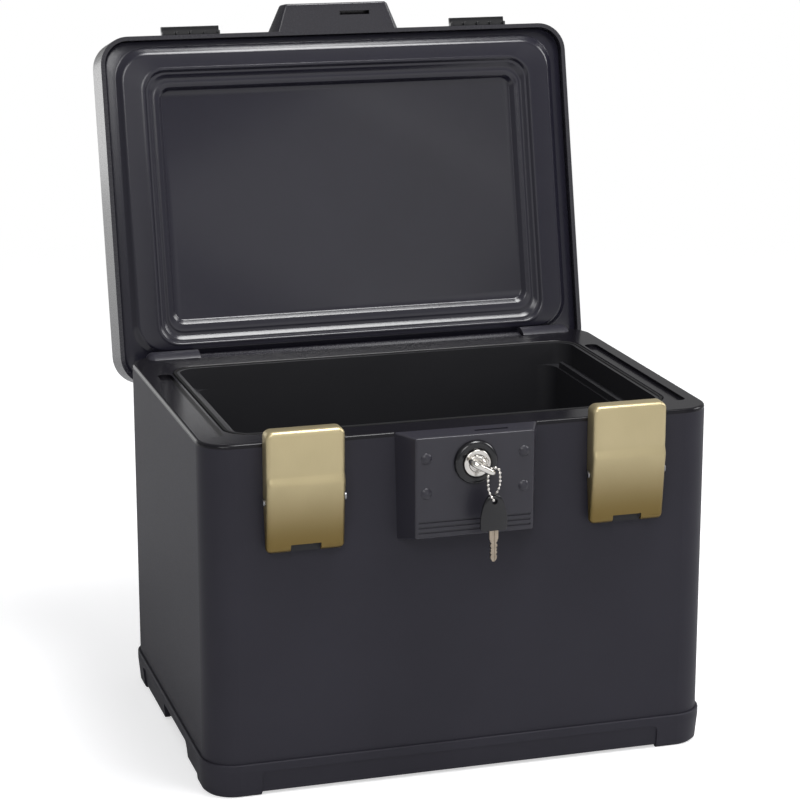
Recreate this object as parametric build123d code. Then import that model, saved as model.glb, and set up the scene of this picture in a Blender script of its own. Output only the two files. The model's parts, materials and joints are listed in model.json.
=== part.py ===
from build123d import *
import os
from collections import namedtuple
from math import cos, radians, sin, tan

# Fire-resistant file chest with its lid standing open.
# X runs to the chest's right, Y to its back, Z up. The origin is the middle of its footprint on the floor.
# Every solid is drawn where it lies at rest: the lid is drawn closed and then swung open about its hinge.

# Overall sizes
chest_width = 406.0       # outer shell, side to side
chest_depth = 290.0       # outer shell, front to back
rim_height = 279.0        # top of the outer shell's rim above the floor
lid_height = 50.6         # rim plane of the closed lid to its top
corner_radius = 24.0      # upright corners of the shell
lid_side_overhang = 4.0
lid_front_inset = 3.0
lid_back_overhang = 6.0
lid_open_angle = 102.5    # from closed to resting on its stop
lid_edge_radius = 11.0

# Walls and running gaps
shell_wall = 3.5
liner_wall = 2.5
lid_wall = 3.5
filling_gap = 0.3         # cast filling to the plastic around it
seam_gap = 0.3            # between two mouldings that meet
closing_gap = 0.4         # lid's rim plane above the chest's rim
running_gap = 0.4         # between parts that turn past each other
shaft_gap = 0.15          # radial gap round a pin or a shaft
swing_gap = 0.6           # left at the end of a part's travel

# Chest rim, inwards from the shell's outer faces
rim_flat = 26.0           # level band round the top, sides and front
rim_back_flat = 27.0      # the same in front of the hinge
rim_thickness = 3.0
rim_step = 0.5            # drop from that band to the liner's flange
rim_bevel = 1.2
shelf_height = 6.5        # below the flange's top, the shell's seat for it
liner_rim = 4.0           # thickness of the liner's flange
flange_width = 5.5
liner_lip = 2.6
liner_seat = 2.7          # what the shell's seat holds the flange up with
gasket_bed = 1.8          # depth of the gasket's rebate in the liner's flange
gasket_stand = 0.7        # how far the gasket stands above the flange
rim_edge_radius = 2.4
rim_corner = 20.0
side_groove_in = 11.5     # long groove in each side's band, in from the shell's outer face
side_groove_width = 11.5
side_groove_depth = 2.5
side_groove_front = 27.0  # its ends, in from the front and from the back
side_groove_back = 65.0
side_groove_corner = 5.0
groove_skin = 2.5

# Compartment
ledge_drop = 18.5         # from the liner's flange to the ledges that carry hanging files
file_span = 318.0         # between the two rails, for letter-size hanging files
rail_width = 3.0
rail_height = 5.0
rail_inset = 14.0         # rail's ends from the compartment's front and back
ledge_gap = 1.5           # ledge's edge to the inside of the rail
compartment_floor = 30.0
compartment_taper = 0.5   # degrees of draft
well_corner = 14.0

# Base
base_height = 27.0
base_overhang = 2.2
base_lip = 6.0            # how far the base's wall stands up round the shell's foot
base_plate = 3.5
base_wall = 5.0
base_edge = 1.0
pan_inset_x = 35.0        # filled pan under the compartment, in from the shell's outer faces
pan_inset_y = 37.0
pan_bottom = 3.0
base_draft = 2.0          # how far the skirt leans in to its foot
panel_foot = 41.0         # sunk panels between the corner feet, in from the shell's outer faces
panel_depth = 1.5
panel_top = 19.5
panel_lift = 2.7          # their lower edge above the floor
panel_corner = 4.5
grip_front = -61.0        # hand hold under each side
grip_back = 26.0
grip_height = 17.5
grip_corner = 8.0
grip_rib = 4.0
foot_edge = 2.0
pad_inset_x = 48.0        # foot ring under the pan, in from the pan's outline
pad_inset_y = 36.0
pad_width = 6.0
plug_radius = 14.0
plug_flange = 16.0
plug_head = 1.2
plug_spread = 150.0       # between the two filling plugs

# Hinge
hinge_inset = 5.0         # axis in front of the back face
barrel_radius = 12.0      # its top is level with the rim
knuckle_inset = 15.0      # outer end of the shell's knuckles, in from the shell's sides
end_knuckle = 44.6
rod_radius = 3.0
rod_cover = 8.0           # rod's end to the outer end of its knuckle
cap_radius = 4.5
cradle_wall = 3.0

# Lid lining, heights from the rim plane that its ring reaches down to
border_level = 5.5
groove_level = 3.5
field_level = 8.5
lining_wall = 2.6

# Lock
lock_depth = 22.7
lock_foot_half = 56.4     # half width against the shell, at the rim
lock_foot_draft = 2.0     # how far that narrows downwards
lock_face_half = 46.5     # half width of the front face
lock_foot_drop = 84.0     # rim to the housing's lower edge against the shell
lock_face_drop = 78.0
lock_wall = 3.0
lock_drop = 21.0          # rim to the key cylinder's axis
lock_edge_radius = 1.2
dome_radius = 4.4
dome_height = 2.0
dome_inset = 8.0          # from the sides of the housing's face
dome_drops = (16.0, 43.0)
boss_radius = 4.0
rivet_radius = 1.8
rivet_tail = 1.2
tail_radius = 3.0
groove_rises = (4.5, 8.5, 12.5)   # above the face's lower edge
groove_width = 1.4
groove_depth = 0.8
bezel_radius = 17.0
bezel_height = 4.6
bezel_crown = 13.5
cylinder_radius = 10.4
cylinder_stand = 5.6      # cylinder's face in front of the housing
cylinder_flange = 2.0
barrel_thread_radius = 8.9
plug_core_radius = 6.4
plug_face = 0.5           # plug in front of its cylinder
lock_nut_thickness = 3.0
lock_nut_across = 24.0
cam_gap = 0.5             # behind the cylinder
cam_thickness = 2.2
cam_hub_radius = 8.0
spigot_radius = 4.0
hook_inner = 25.6
hook_outer = 29.4
hook_start = 16.0         # hook's tip at rest, degrees above the horizontal
hook_sweep = 56.0         # length of the hook's arc, degrees
shank_width = 5.0
slot_left = 3.0
slot_right = 29.5
slot_width = 3.4
screw_head_radius = 3.8
screw_head = 1.6
screw_radius = 1.5
screw_length = 4.5

# Key in the lock, and the spare on its bead chain
key_roll = 28.0           # bow turned clockwise out of the horizontal, degrees
key_thickness = 2.2
key_blade_width = 7.0
key_blade_length = 13.5
key_neck = 2.0
key_neck_width = 9.0
bow_length = 15.5
bow_half = 11.0
key_hole_radius = 3.0
key_hole_in = 5.6         # hole's centre from the bow's middle
key_hole_out = 12.2       # hole's centre in front of the cylinder's face
keyway_gap = 0.12
chain_radius = 1.0
chain_bend = 3.3
chain_half = 5.0          # half the loop's width
chain_reach = 5.8         # and half its depth where it passes through the spare key
chain_turn = 2.4          # how far it has turned that way at its widest
chain_straight = 17.4
chain_waist = 0.62        # how far down its widest part reaches
chain_slack = 0.3         # loop hangs this far below the middle of the bar it passes round
spare_bow_height = 27.0
spare_bow_top = 4.6       # half widths
spare_bow_bottom = 10.6
spare_bow_thickness = 5.0
spare_hole_radius = 2.3
spare_hole_drop = 4.2
spare_blade_length = 24.5
spare_blade_half = 3.5

# Latches
latch_inset = 75.0        # latch's middle, in from the shell's side
latch_half = 30.2
latch_rise = 10.8         # latch's top above the rim
latch_length = 94.2
latch_pivot_drop = 44.0   # pin's axis below the rim
latch_pivot_out = 6.0     # pin's axis in front of the shell
latch_depth = 13.4        # cover's top, front to back
latch_wall = 2.0
latch_lip = 2.4
latch_back_gap = 0.6
crease_drop = 29.5        # crease across the cover, below the rim
crease_rise = 0.8
crease_half = 3.4
latch_taper = 3.2         # how far the cover's foot leans back
latch_foot_depth = 4.4
latch_edge_radius = 2.6
latch_top_corner = 4.5    # corners of the cover seen from the front
latch_foot_corner = 3.2
latch_swing = 7.5         # degrees the cover rocks when its foot is pressed
notch_half = 11.7
notch_height = 6.0
toe_half = 11.0           # bracket's toe, which fills the cover's notch
toe_height = 4.6
toe_reach = 6.5
pin_radius = 2.0
pin_head_radius = 2.8
pin_head = 1.3
lug_width = 3.0
lug_radius = 4.2
bracket_half = 20.0
bracket_thickness = 2.5
bracket_rise = 27.0       # bracket's top above the pin's axis
bracket_drop = 29.0       # and its plate's foot below it
screw_offsets = (-22.0, 19.0)
fixing_head_radius = 3.2
fixing_head = 1.2
fixing_radius = 1.5
screw_end = 3.0           # fixing screws' ends inside the shell
catch_half = 25.0
catch_reach = 7.6
catch_foot = 0.6          # catch above the lid's rim plane
catch_clear = 0.5         # catch's top below the latch's lip
catch_ribs = 5
catch_rib_width = 2.2
catch_web = 2.4

# Hasp on the lid's front
hasp_reach = 23.4
hasp_root_half = 52.5     # flat underside
hasp_tip_half = 44.3
hasp_flare = 6.5          # how far its sides lean out upwards
hasp_root_height = 15.0
hasp_tip_height = 9.0
hasp_floor = 2.5
hasp_wall = 2.0
hasp_edge_radius = 1.5

# Places that follow from the sizes above
half_width = chest_width / 2
front_face = -chest_depth / 2
back_face = chest_depth / 2
rim_plane = rim_height + closing_gap
lid_top = rim_plane + lid_height
hinge_y = back_face - hinge_inset
hinge_z = rim_height - barrel_radius
far_knuckle = half_width - knuckle_inset
near_knuckle = far_knuckle - end_knuckle
barrel_half = near_knuckle - running_gap
rod_half = far_knuckle - rod_cover
stop_drop = barrel_radius + 2 * running_gap
web_front = hinge_y - barrel_radius
shelf_top = rim_height - rim_step
shelf_bottom = shelf_top - shelf_height
ledge_top = shelf_top - ledge_drop
border_plane = rim_plane + border_level
base_floor = base_height - base_lip
lock_front = front_face - lock_depth
lock_height = rim_height - lock_drop
dome_x = lock_face_half - dome_inset
cylinder_face = lock_front - cylinder_stand
cylinder_seat = cylinder_face + cylinder_flange
hook_plane = front_face - lock_depth / 2
cam_front = hook_plane - cam_thickness / 2
cam_back = hook_plane + cam_thickness / 2
cylinder_back = cam_front - cam_gap
bar_from_axis = (bow_half + key_hole_in + key_hole_radius) / 2
chain_y = cylinder_face - key_hole_out
latch_x = half_width - latch_inset
latch_top = rim_height + latch_rise
latch_bottom = latch_top - latch_length
latch_crease = rim_height - crease_drop
latch_pivot_y = front_face - latch_pivot_out
latch_pivot_height = rim_height - latch_pivot_drop
catch_top = latch_top - latch_lip - catch_clear
lid_front = front_face + lid_front_inset

Outline = namedtuple("Outline", "half front back corner")


def inset(outline, distance):
    """The same outline moved inwards on all four sides."""
    corner = max(outline.corner - distance, 1.0)
    return Outline(outline.half - distance, outline.front + distance, outline.back - distance, corner)


def sheet(outline, height):
    middle = (outline.front + outline.back) / 2
    return Pos(0, middle, height) * RectangleRounded(2 * outline.half, outline.back - outline.front, outline.corner)


def slab(outline, bottom, top):
    """Rounded rectangle drawn up from one height to another."""
    return extrude(sheet(outline, bottom), top - bottom)


def band(outer, inner, bottom, top):
    """Closed frame between two outlines."""
    return slab(outer, bottom, top) - slab(inner, bottom - 1, top + 1)


def slope(lower, bottom, upper, top):
    """Solid whose outline changes from one height to another."""
    return loft([sheet(lower, bottom), sheet(upper, top)], ruled=True)


def span(x0, x1, y0, y1, z0, z1):
    """Box between two corners."""
    return Pos((x0 + x1) / 2, (y0 + y1) / 2, (z0 + z1) / 2) * Box(x1 - x0, y1 - y0, z1 - z0)


def bar_x(x0, x1, y, z, radius):
    """Round bar along X."""
    return Pos((x0 + x1) / 2, y, z) * Rot(0, 90, 0) * Cylinder(radius, abs(x1 - x0))


def bar_y(x, y0, y1, z, radius):
    """Round bar along Y."""
    return Pos(x, (y0 + y1) / 2, z) * Rot(90, 0, 0) * Cylinder(radius, abs(y1 - y0))


def bar_z(x, y, z0, z1, radius):
    """Round bar along Z."""
    return Pos(x, y, (z0 + z1) / 2) * Cylinder(radius, z1 - z0)


def prism_x(points, x0, x1):
    """Side profile of (y, z) points, drawn out along X."""
    wire = Polyline(*[(x0, y, z) for y, z in points], close=True)
    return extrude(make_face(wire), amount=x1 - x0, dir=(1, 0, 0))


def prism_y(points, y0, y1):
    """Front view of (x, z) points, drawn back along Y."""
    wire = Polyline(*[(x, y0, z) for x, z in points], close=True)
    return extrude(make_face(wire), amount=y1 - y0, dir=(0, 1, 0))


def turned_y(points, x, z):
    """Body turned about an axis along Y, from (radius, y) points."""
    wire = Polyline(*[(radius, y, 0) for radius, y in points], close=True)
    return Pos(x, 0, z) * revolve(make_face(wire), Axis.Y)


def swung_open(piece):
    """A piece of the closed lid, swung open about the hinge."""
    return piece.rotate(Axis((0, hinge_y, hinge_z), (1, 0, 0)), -lid_open_angle)


shell_outline = Outline(half_width, front_face, back_face, corner_radius)
shell_inside = inset(shell_outline, shell_wall)
step_outline = Outline(half_width - rim_flat, front_face + rim_flat, web_front - rim_back_flat, rim_corner)
opening = inset(step_outline, flange_width)
well = Outline(file_span / 2 - ledge_gap, opening.front, opening.back, well_corner)
base_outline = inset(shell_outline, -base_overhang)
pan = Outline(half_width - pan_inset_x, front_face + pan_inset_y, back_face - pan_inset_y, well_corner)
lid_outline = Outline(half_width + lid_side_overhang, lid_front, back_face + lid_back_overhang, corner_radius)
lid_inside = inset(lid_outline, lid_wall)

# The lid lining's raised ring, from its root to the flat field in the middle, as outlines seen from below
ring_root = Outline(half_width - 13.0, front_face + 13.4, hinge_y - 13.1, 25.0)
ring_crest = Outline(half_width - 18.0, front_face + 19.0, hinge_y - 17.1, 22.0)
groove_rim = Outline(half_width - 33.7, front_face + 30.5, hinge_y - 24.0, 20.0)
groove_floor = Outline(half_width - 37.7, front_face + 34.4, hinge_y - 30.0, 16.0)
field_rim = Outline(half_width - 44.6, front_face + 45.0, hinge_y - 37.0, 10.0)
field = Outline(half_width - 48.0, front_face + 48.4, hinge_y - 40.9, 7.0)


def well_block(skin, bottom):
    """Compartment below the ledges as a solid grown by a skin, narrowing slightly downwards."""
    top = inset(well, -skin)
    lean = (ledge_top - bottom) * tan(radians(compartment_taper))
    foot = Outline(top.half - lean, top.front + lean, top.back - lean, top.corner)
    return slope(foot, bottom, top, ledge_top)


def hinge_notch():
    """Room for the lid's long knuckle and for the web that joins it to the lid."""
    clear = barrel_radius + running_gap
    notch = bar_x(-near_knuckle, near_knuckle, hinge_y, hinge_z, clear)
    behind = back_face + 2 * barrel_radius
    notch += span(-near_knuckle, near_knuckle, hinge_y, behind, hinge_z - stop_drop, rim_height + 1)
    return notch + span(-near_knuckle, near_knuckle, web_front - running_gap, behind, hinge_z, rim_height + 1)


def trough(radius):
    """Wall round the front and the underside of the lid's knuckle."""
    block = bar_x(-near_knuckle, near_knuckle, hinge_y, hinge_z, radius)
    top = rim_height - rim_thickness / 2
    return block & span(-near_knuckle, near_knuckle, hinge_y - 2 * barrel_radius, back_face, 0, top)


def side_groove(side, skin, bottom, top):
    """Long shallow groove in a side's rim band, grown by a skin."""
    outer = side * (half_width - side_groove_in)
    x = outer - side * side_groove_width / 2
    front, back = front_face + side_groove_front, back_face - side_groove_back
    outline = RectangleRounded(side_groove_width + 2 * skin, back - front + 2 * skin, side_groove_corner + skin)
    return extrude(Pos(x, (front + back) / 2, bottom) * outline, top - bottom)


def outer_shell():
    """Moulded case: walls, rim band, sealing shelf, hinge knuckles and the trough between them."""
    body = slab(shell_outline, base_floor, rim_height)
    body = fillet(body.edges().group_by(Axis.Z)[-1], rim_edge_radius)
    body += span(-lock_foot_half, lock_foot_half, front_face, front_face + 2 * rim_edge_radius,
                 rim_height - rim_thickness, rim_height)
    body -= slab(shell_inside, base_floor - 1, rim_height - rim_thickness)
    groove_floor_height = rim_height - side_groove_depth
    for side in (-1, 1):
        body += side_groove(side, groove_skin, groove_floor_height - groove_skin, rim_height - rim_thickness / 2)
        body -= side_groove(side, 0, groove_floor_height, rim_height + 1)
    body -= slab(step_outline, base_floor, rim_height + 1)
    body -= slope(step_outline, rim_height - rim_bevel, inset(step_outline, -rim_bevel), rim_height)
    body += band(inset(step_outline, -rim_thickness), step_outline, shelf_bottom, rim_height - rim_thickness / 2)
    body += band(step_outline, inset(step_outline, liner_seat), shelf_bottom, shelf_top - liner_rim)
    body -= span(-half_width, half_width, hinge_y, back_face + 1, hinge_z, rim_height + 1) - bar_x(
        -half_width - 1, half_width + 1, hinge_y, hinge_z, barrel_radius)
    body += trough(barrel_radius + running_gap + cradle_wall)
    for side in (-1, 1):
        body += bar_x(side * near_knuckle, side * far_knuckle, hinge_y, hinge_z, barrel_radius)
    body -= hinge_notch()
    body -= bar_x(-rod_half, rod_half, hinge_y, hinge_z, rod_radius)
    for side in (-1, 1):
        body -= bar_x(side * rod_half, side * half_width, hinge_y, hinge_z, cap_radius)
        for offset in screw_offsets:
            body -= bar_y(side * latch_x, front_face - 1, front_face + shell_wall + 1, latch_pivot_height + offset,
                          fixing_radius)
        for drop in dome_drops:
            body -= bar_y(side * dome_x, front_face - 1, front_face + shell_wall + 1, rim_height - drop,
                          rivet_radius)
    return body


def sunk_panel(plane, place, half):
    """What is cut away to sink one side of the skirt between its feet and to lift its lower edge."""
    panel = RectangleRounded(2 * half, 2 * panel_top, panel_corner)
    raised = RectangleRounded(2 * half, 2 * panel_lift, panel_lift / 2)
    sunk = Pos(0, 0, 0) * extrude(place * (plane * panel), base_overhang + 5, both=True)
    sunk -= slope(inset(base_outline, base_draft + panel_depth), 0, inset(base_outline, panel_depth), base_floor)
    return sunk + extrude(place * (plane * raised), 2 * base_wall, both=True)


def base_tray():
    """Moulded base: skirt with feet, hand holds at the sides and the pan under the compartment."""
    body = slope(inset(base_outline, base_draft), 0, base_outline, base_floor)
    body += slab(base_outline, base_floor, base_height)
    body = chamfer(body.edges().group_by(Axis.Z)[0], foot_edge)
    body = fillet(body.edges().group_by(Axis.Z)[-1], base_edge)
    body -= slab(inset(shell_outline, -seam_gap), base_floor, base_height + 1)
    body -= slab(inset(base_outline, base_draft + base_wall), -1, base_floor - base_plate)
    for side in (-1, 1):
        for low, high in ((grip_front - grip_rib, grip_front), (grip_back, grip_back + grip_rib)):
            body += span(*sorted((side * (pan.half + base_plate / 2), side * (half_width - base_wall / 2))),
                         low, high, pan_bottom, base_floor - base_plate / 2)
    body += slab(inset(pan, -base_plate), pan_bottom, base_floor)
    body -= slab(pan, pan_bottom + base_plate, base_floor + 1)
    ring = Outline(pan.half - pad_inset_x, pan.front + pad_inset_y, pan.back - pad_inset_y, well_corner)
    body += band(ring, inset(ring, pad_width), 0, pan_bottom + base_plate / 2)
    grip = RectangleRounded(grip_back - grip_front, 2 * grip_height, grip_corner)
    for side in (-1, 1):
        middle = Pos(side * half_width, (grip_front + grip_back) / 2, 0)
        body -= extrude(middle * (Plane.YZ * grip), 2 * base_wall, both=True)
        body -= sunk_panel(Plane.YZ, Pos(side * half_width, 0, 0), back_face - panel_foot)
        body -= sunk_panel(Plane.XZ, Pos(0, side * back_face, 0), half_width - panel_foot)
        body -= bar_z(side * plug_spread / 2, 0, pan_bottom - 1, pan_bottom + base_plate + 1, plug_radius)
    return body


def fill_plugs():
    """Two plugs that close the holes through which the walls are filled."""
    plugs = []
    for side in (-1, 1):
        x = side * plug_spread / 2
        plug = bar_z(x, 0, pan_bottom, pan_bottom + base_plate, plug_radius - shaft_gap)
        plugs.append(plug + bar_z(x, 0, pan_bottom - plug_head, pan_bottom, plug_flange))
    return Compound(plugs)


def inner_liner():
    """Moulded compartment with its flange, its ledges and the rails for hanging files."""
    bottom = compartment_floor - liner_wall
    body = slab(inset(step_outline, seam_gap), shelf_top - liner_rim, shelf_top)
    body += slab(inset(opening, -liner_wall), ledge_top - liner_wall, shelf_top)
    body += well_block(liner_wall, bottom)
    body -= slab(opening, ledge_top, shelf_top + 1)
    body -= well_block(0, compartment_floor)
    body -= band(step_outline, inset(opening, -liner_lip), shelf_top - gasket_bed, shelf_top + 1)
    for side in (-1, 1):
        low, high = sorted((side * file_span / 2, side * (file_span / 2 + rail_width)))
        body += span(low, high, opening.front + rail_inset, opening.back - rail_inset,
                     ledge_top - liner_wall / 2, ledge_top + rail_height)
    return body


def wall_filling():
    """Cast fire-resistant filling between the shell, the liner and the base."""
    liner_bottom = compartment_floor - liner_wall
    cover = liner_wall + filling_gap
    band_bottom = rim_height - rim_thickness
    body = slab(inset(shell_inside, filling_gap), base_floor, band_bottom - filling_gap)
    body -= slab(inset(step_outline, -rim_thickness - filling_gap), shelf_bottom - filling_gap, rim_height)
    body += slab(inset(pan, filling_gap), pan_bottom + base_plate, base_floor)
    body -= slab(inset(opening, -cover), ledge_top - cover, shelf_top)
    body -= well_block(cover, liner_bottom)
    body -= trough(barrel_radius + running_gap + cradle_wall + filling_gap)
    for side in (-1, 1):
        body -= bar_x(side * near_knuckle, side * half_width, hinge_y, hinge_z, barrel_radius + filling_gap)
        body -= side_groove(side, groove_skin + filling_gap,
                            rim_height - side_groove_depth - groove_skin - filling_gap, rim_height)
        inside = front_face + shell_wall
        for offset in screw_offsets:
            body -= bar_y(side * latch_x, inside, inside + 2 * screw_end, latch_pivot_height + offset,
                          fixing_head_radius)
        for drop in dome_drops:
            body -= bar_y(side * dome_x, inside, inside + 2 * rivet_tail, rim_height - drop, tail_radius + 1)
    return body


def rim_gasket():
    """Soft seal in the rebate of the liner's flange."""
    outer = inset(step_outline, seam_gap)
    inner = inset(opening, -liner_lip)
    body = band(outer, inner, shelf_top - gasket_bed, shelf_top + gasket_stand)
    return fillet(body.edges().group_by(Axis.Z)[-1], gasket_stand)


def hinge_plugs():
    """Caps that close the hinge rod's bores at the back corners."""
    body = slab(inset(shell_outline, seam_gap), hinge_z - barrel_radius, hinge_z + barrel_radius)
    return Compound([bar_x(side * rod_half, side * half_width, hinge_y, hinge_z, cap_radius - shaft_gap) & body
                     for side in (-1, 1)])


def lock_block(skin):
    """Tapered lock housing as a solid with its faces moved inwards by a skin."""
    faces = []
    high = rim_height - skin
    for half, draft, drop, y in ((lock_foot_half, lock_foot_draft, lock_foot_drop, front_face),
                                 (lock_face_half, 0, lock_face_drop, lock_front + skin)):
        top, foot, low = half - skin, half - draft - skin, rim_height - drop + skin
        wire = Polyline((-foot, y, low), (foot, y, low), (top, y, high), (-top, y, high), close=True)
        faces.append(make_face(wire))
    return loft(faces, ruled=True)


def lock_housing():
    """Moulded housing in front of the shell, with the slot that the hook rises through."""
    body = lock_block(0)
    outer = [edge for edge in body.edges() if edge.center().Y < front_face - 0.1]
    body = fillet(outer, lock_edge_radius)
    body -= lock_block(lock_wall)
    for side in (-1, 1):
        for drop in dome_drops:
            height = rim_height - drop
            body += bar_y(side * dome_x, lock_front + lock_wall / 2, front_face, height, boss_radius)
            body -= bar_y(side * dome_x, lock_front - 1, front_face + 1, height, rivet_radius)
    body -= span(slot_left, slot_right, hook_plane - slot_width / 2, hook_plane + slot_width / 2,
                 rim_height - 2 * lock_wall, rim_height + 1)
    body -= bar_y(0, lock_front - 1, lock_front + 2 * lock_wall, lock_height, barrel_thread_radius)
    for rise in groove_rises:
        height = rim_height - lock_face_drop + rise
        body -= span(2 - lock_face_half, lock_face_half - 2, lock_front - 1, lock_front + groove_depth,
                     height - groove_width / 2, height + groove_width / 2)
    return body


def lock_rivets():
    """Four domed rivets that hold the housing to the shell."""
    rivets = []
    back = front_face + shell_wall
    rise = (dome_radius ** 2 + dome_height ** 2) / (2 * dome_height)
    for side in (-1, 1):
        for drop in dome_drops:
            height = rim_height - drop
            ball = Pos(side * dome_x, lock_front - dome_height + rise, height) * Sphere(rise)
            dome = ball & bar_y(side * dome_x, lock_front - 2 * dome_height, lock_front, height, dome_radius)
            shaft = bar_y(side * dome_x, lock_front - dome_height / 2, back + rivet_tail, height, rivet_radius)
            tail = bar_y(side * dome_x, back, back + rivet_tail, height, tail_radius)
            rivets.append(dome + shaft + tail)
    return Compound(rivets)


def lock_bezel():
    """Black ring round the key cylinder."""
    return turned_y([(barrel_thread_radius, lock_front), (bezel_radius, lock_front),
                     (bezel_radius, lock_front - bezel_height / 3), (bezel_crown, lock_front - bezel_height),
                     (cylinder_radius + shaft_gap, lock_front - bezel_height),
                     (cylinder_radius + shaft_gap, cylinder_seat), (barrel_thread_radius, cylinder_seat)],
                    0, lock_height)


def lock_body():
    """Fixed part of the key cylinder."""
    bore = plug_core_radius + shaft_gap
    return turned_y([(bore, cylinder_face), (cylinder_radius - 0.6, cylinder_face),
                     (cylinder_radius, cylinder_face + 0.6), (cylinder_radius, cylinder_seat),
                     (barrel_thread_radius, cylinder_seat), (barrel_thread_radius, cylinder_back),
                     (bore, cylinder_back)], 0, lock_height)


def lock_nut():
    """Nut that holds the cylinder from inside the housing."""
    inside = lock_front + lock_wall
    hexagon = RegularPolygon(lock_nut_across / 2, 6, major_radius=False) - Circle(barrel_thread_radius)
    return Pos(0, inside, lock_height) * Rot(-90, 0, 0) * extrude(hexagon, lock_nut_thickness)


def key_frame(shape):
    """A key drawn flat, laid in front of the cylinder at the angle the bow is turned to."""
    return Pos(0, cylinder_face, lock_height) * Rot(0, key_roll, 0) * shape


def lock_plug():
    """Turning core of the cylinder with its keyway and the spigot for the hook."""
    body = bar_y(0, cylinder_face - plug_face, cylinder_back, lock_height, plug_core_radius)
    body += bar_y(0, cylinder_back, cam_back - shaft_gap, lock_height, spigot_radius)
    keyway = Box(key_blade_width + 2 * keyway_gap, 2 * key_blade_length + 1, key_thickness + 2 * keyway_gap)
    body -= key_frame(keyway)
    return body - bar_y(0, cam_back - screw_length, cam_back + 1, lock_height, screw_radius)


def hook_cam():
    """Hook that the key swings up through the housing into the hasp."""
    tail = hook_start - hook_sweep
    ring = Circle(hook_outer) - Circle(hook_inner)
    reach = 2 * hook_outer
    wedge = make_face(Polyline((0, 0), *[(reach * cos(radians(a)), reach * sin(radians(a)))
                                         for a in (tail, (tail + hook_start) / 2, hook_start)], close=True))
    middle = (hook_inner + hook_outer) / 2
    shank = Rot(0, 0, tail) * Pos(middle / 2, shank_width / 2) * Rectangle(middle, shank_width)
    flat = (ring & wedge) + shank + Circle(cam_hub_radius) - Circle(spigot_radius)
    return Pos(0, cam_back, lock_height) * Rot(90, 0, 0) * extrude(flat, cam_thickness)


def cam_screw():
    """Screw that holds the hook to the plug."""
    head = bar_y(0, cam_back, cam_back + screw_head, lock_height, screw_head_radius + 1)
    head -= Pos(0, cam_back + screw_head, lock_height) * Box(2 * screw_head_radius, 1.2, 1.0)
    return head + bar_y(0, cam_back - screw_length, cam_back, lock_height, screw_radius)


def lock_key():
    """Key standing in the lock."""
    near = -plug_face - key_neck
    bow = Pos(0, near - bow_length / 2) * RectangleRounded(2 * bow_half, bow_length, bow_length * 0.42)
    neck = Pos(0, near / 2 - 1) * Rectangle(key_neck_width, abs(near) - 2 * plug_face + 2)
    blade = Pos(0, (key_blade_length - 1) / 2 - 0.5) * Rectangle(key_blade_width, key_blade_length)
    flat = bow + neck + blade - Pos(key_hole_in, -key_hole_out) * Circle(key_hole_radius)
    return key_frame(extrude(flat, key_thickness / 2, both=True))


def chain_hinge():
    """Where the chain hangs on the key's bow: x and z of the bar beside the hole."""
    return bar_from_axis * cos(radians(key_roll)), lock_height - bar_from_axis * sin(radians(key_roll))


def rounded_run(points, radius):
    """Straight runs through the points, joined by tangent arcs."""
    edges = []
    start = Vector(points[0])
    for before, corner, after in zip(points, points[1:], points[2:]):
        back = (Vector(before) - Vector(corner)).normalized()
        ahead = (Vector(after) - Vector(corner)).normalized()
        half = radians(back.get_angle(ahead)) / 2
        near = Vector(corner) + back * (radius / tan(half))
        far = Vector(corner) + ahead * (radius / tan(half))
        middle = Vector(corner) + (back + ahead).normalized() * (radius / sin(half) - radius)
        edges += [Edge.make_line(start, near), Edge.make_three_point_arc(near, middle, far)]
        start = far
    return Wire(edges + [Edge.make_line(start, Vector(points[-1]))])


def key_chain():
    """Loop of bead chain, twisted a quarter turn so that it passes through both keys."""
    x, pivot = chain_hinge()
    top = pivot - chain_slack + chain_bend
    low = top - chain_straight - 2 * chain_bend
    waist = top + chain_waist * (low - top)
    path = rounded_run([(x, chain_y, top), (x + chain_half, chain_y, top), (x + chain_half, chain_y + chain_turn, waist),
                        (x, chain_y + chain_reach, low), (x, chain_y, low)], chain_bend)
    half = sweep(Plane(path @ 0, z_dir=path % 0) * Circle(chain_radius), path)
    return half + half.rotate(Axis((x, chain_y, 0), (0, 0, 1)), 180)


def spare_places():
    """Middle of the spare key, its hole's height, the top and the foot of its bow."""
    x, pivot = chain_hinge()
    hole = pivot - chain_slack - chain_straight - chain_bend - spare_hole_radius / 4
    top = hole + spare_hole_drop
    return x, hole, top, top - spare_bow_height


def spare_key_bow():
    """Moulded bow of the spare key."""
    x, hole, top, foot = spare_places()
    shoulder = top - 0.45 * spare_bow_height
    wide = 0.93 * spare_bow_bottom
    body = prism_y([(x - spare_bow_top, top), (x + spare_bow_top, top), (x + wide, shoulder),
                    (x + spare_bow_bottom, foot), (x - spare_bow_bottom, foot), (x - wide, shoulder)],
                   chain_y - spare_bow_thickness / 2, chain_y + spare_bow_thickness / 2)
    body = fillet(body.edges().filter_by(Axis.Y), 2.0)
    body = fillet([e for e in body.edges() if abs(e.center().Y - chain_y) > 1], 0.8)
    body -= span(x - spare_blade_half, x + spare_blade_half, chain_y - key_thickness / 2,
                 chain_y + key_thickness / 2, foot - 1, foot + spare_bow_height / 3)
    return body - bar_y(x, chain_y - 5, chain_y + 5, hole, spare_hole_radius)


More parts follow.
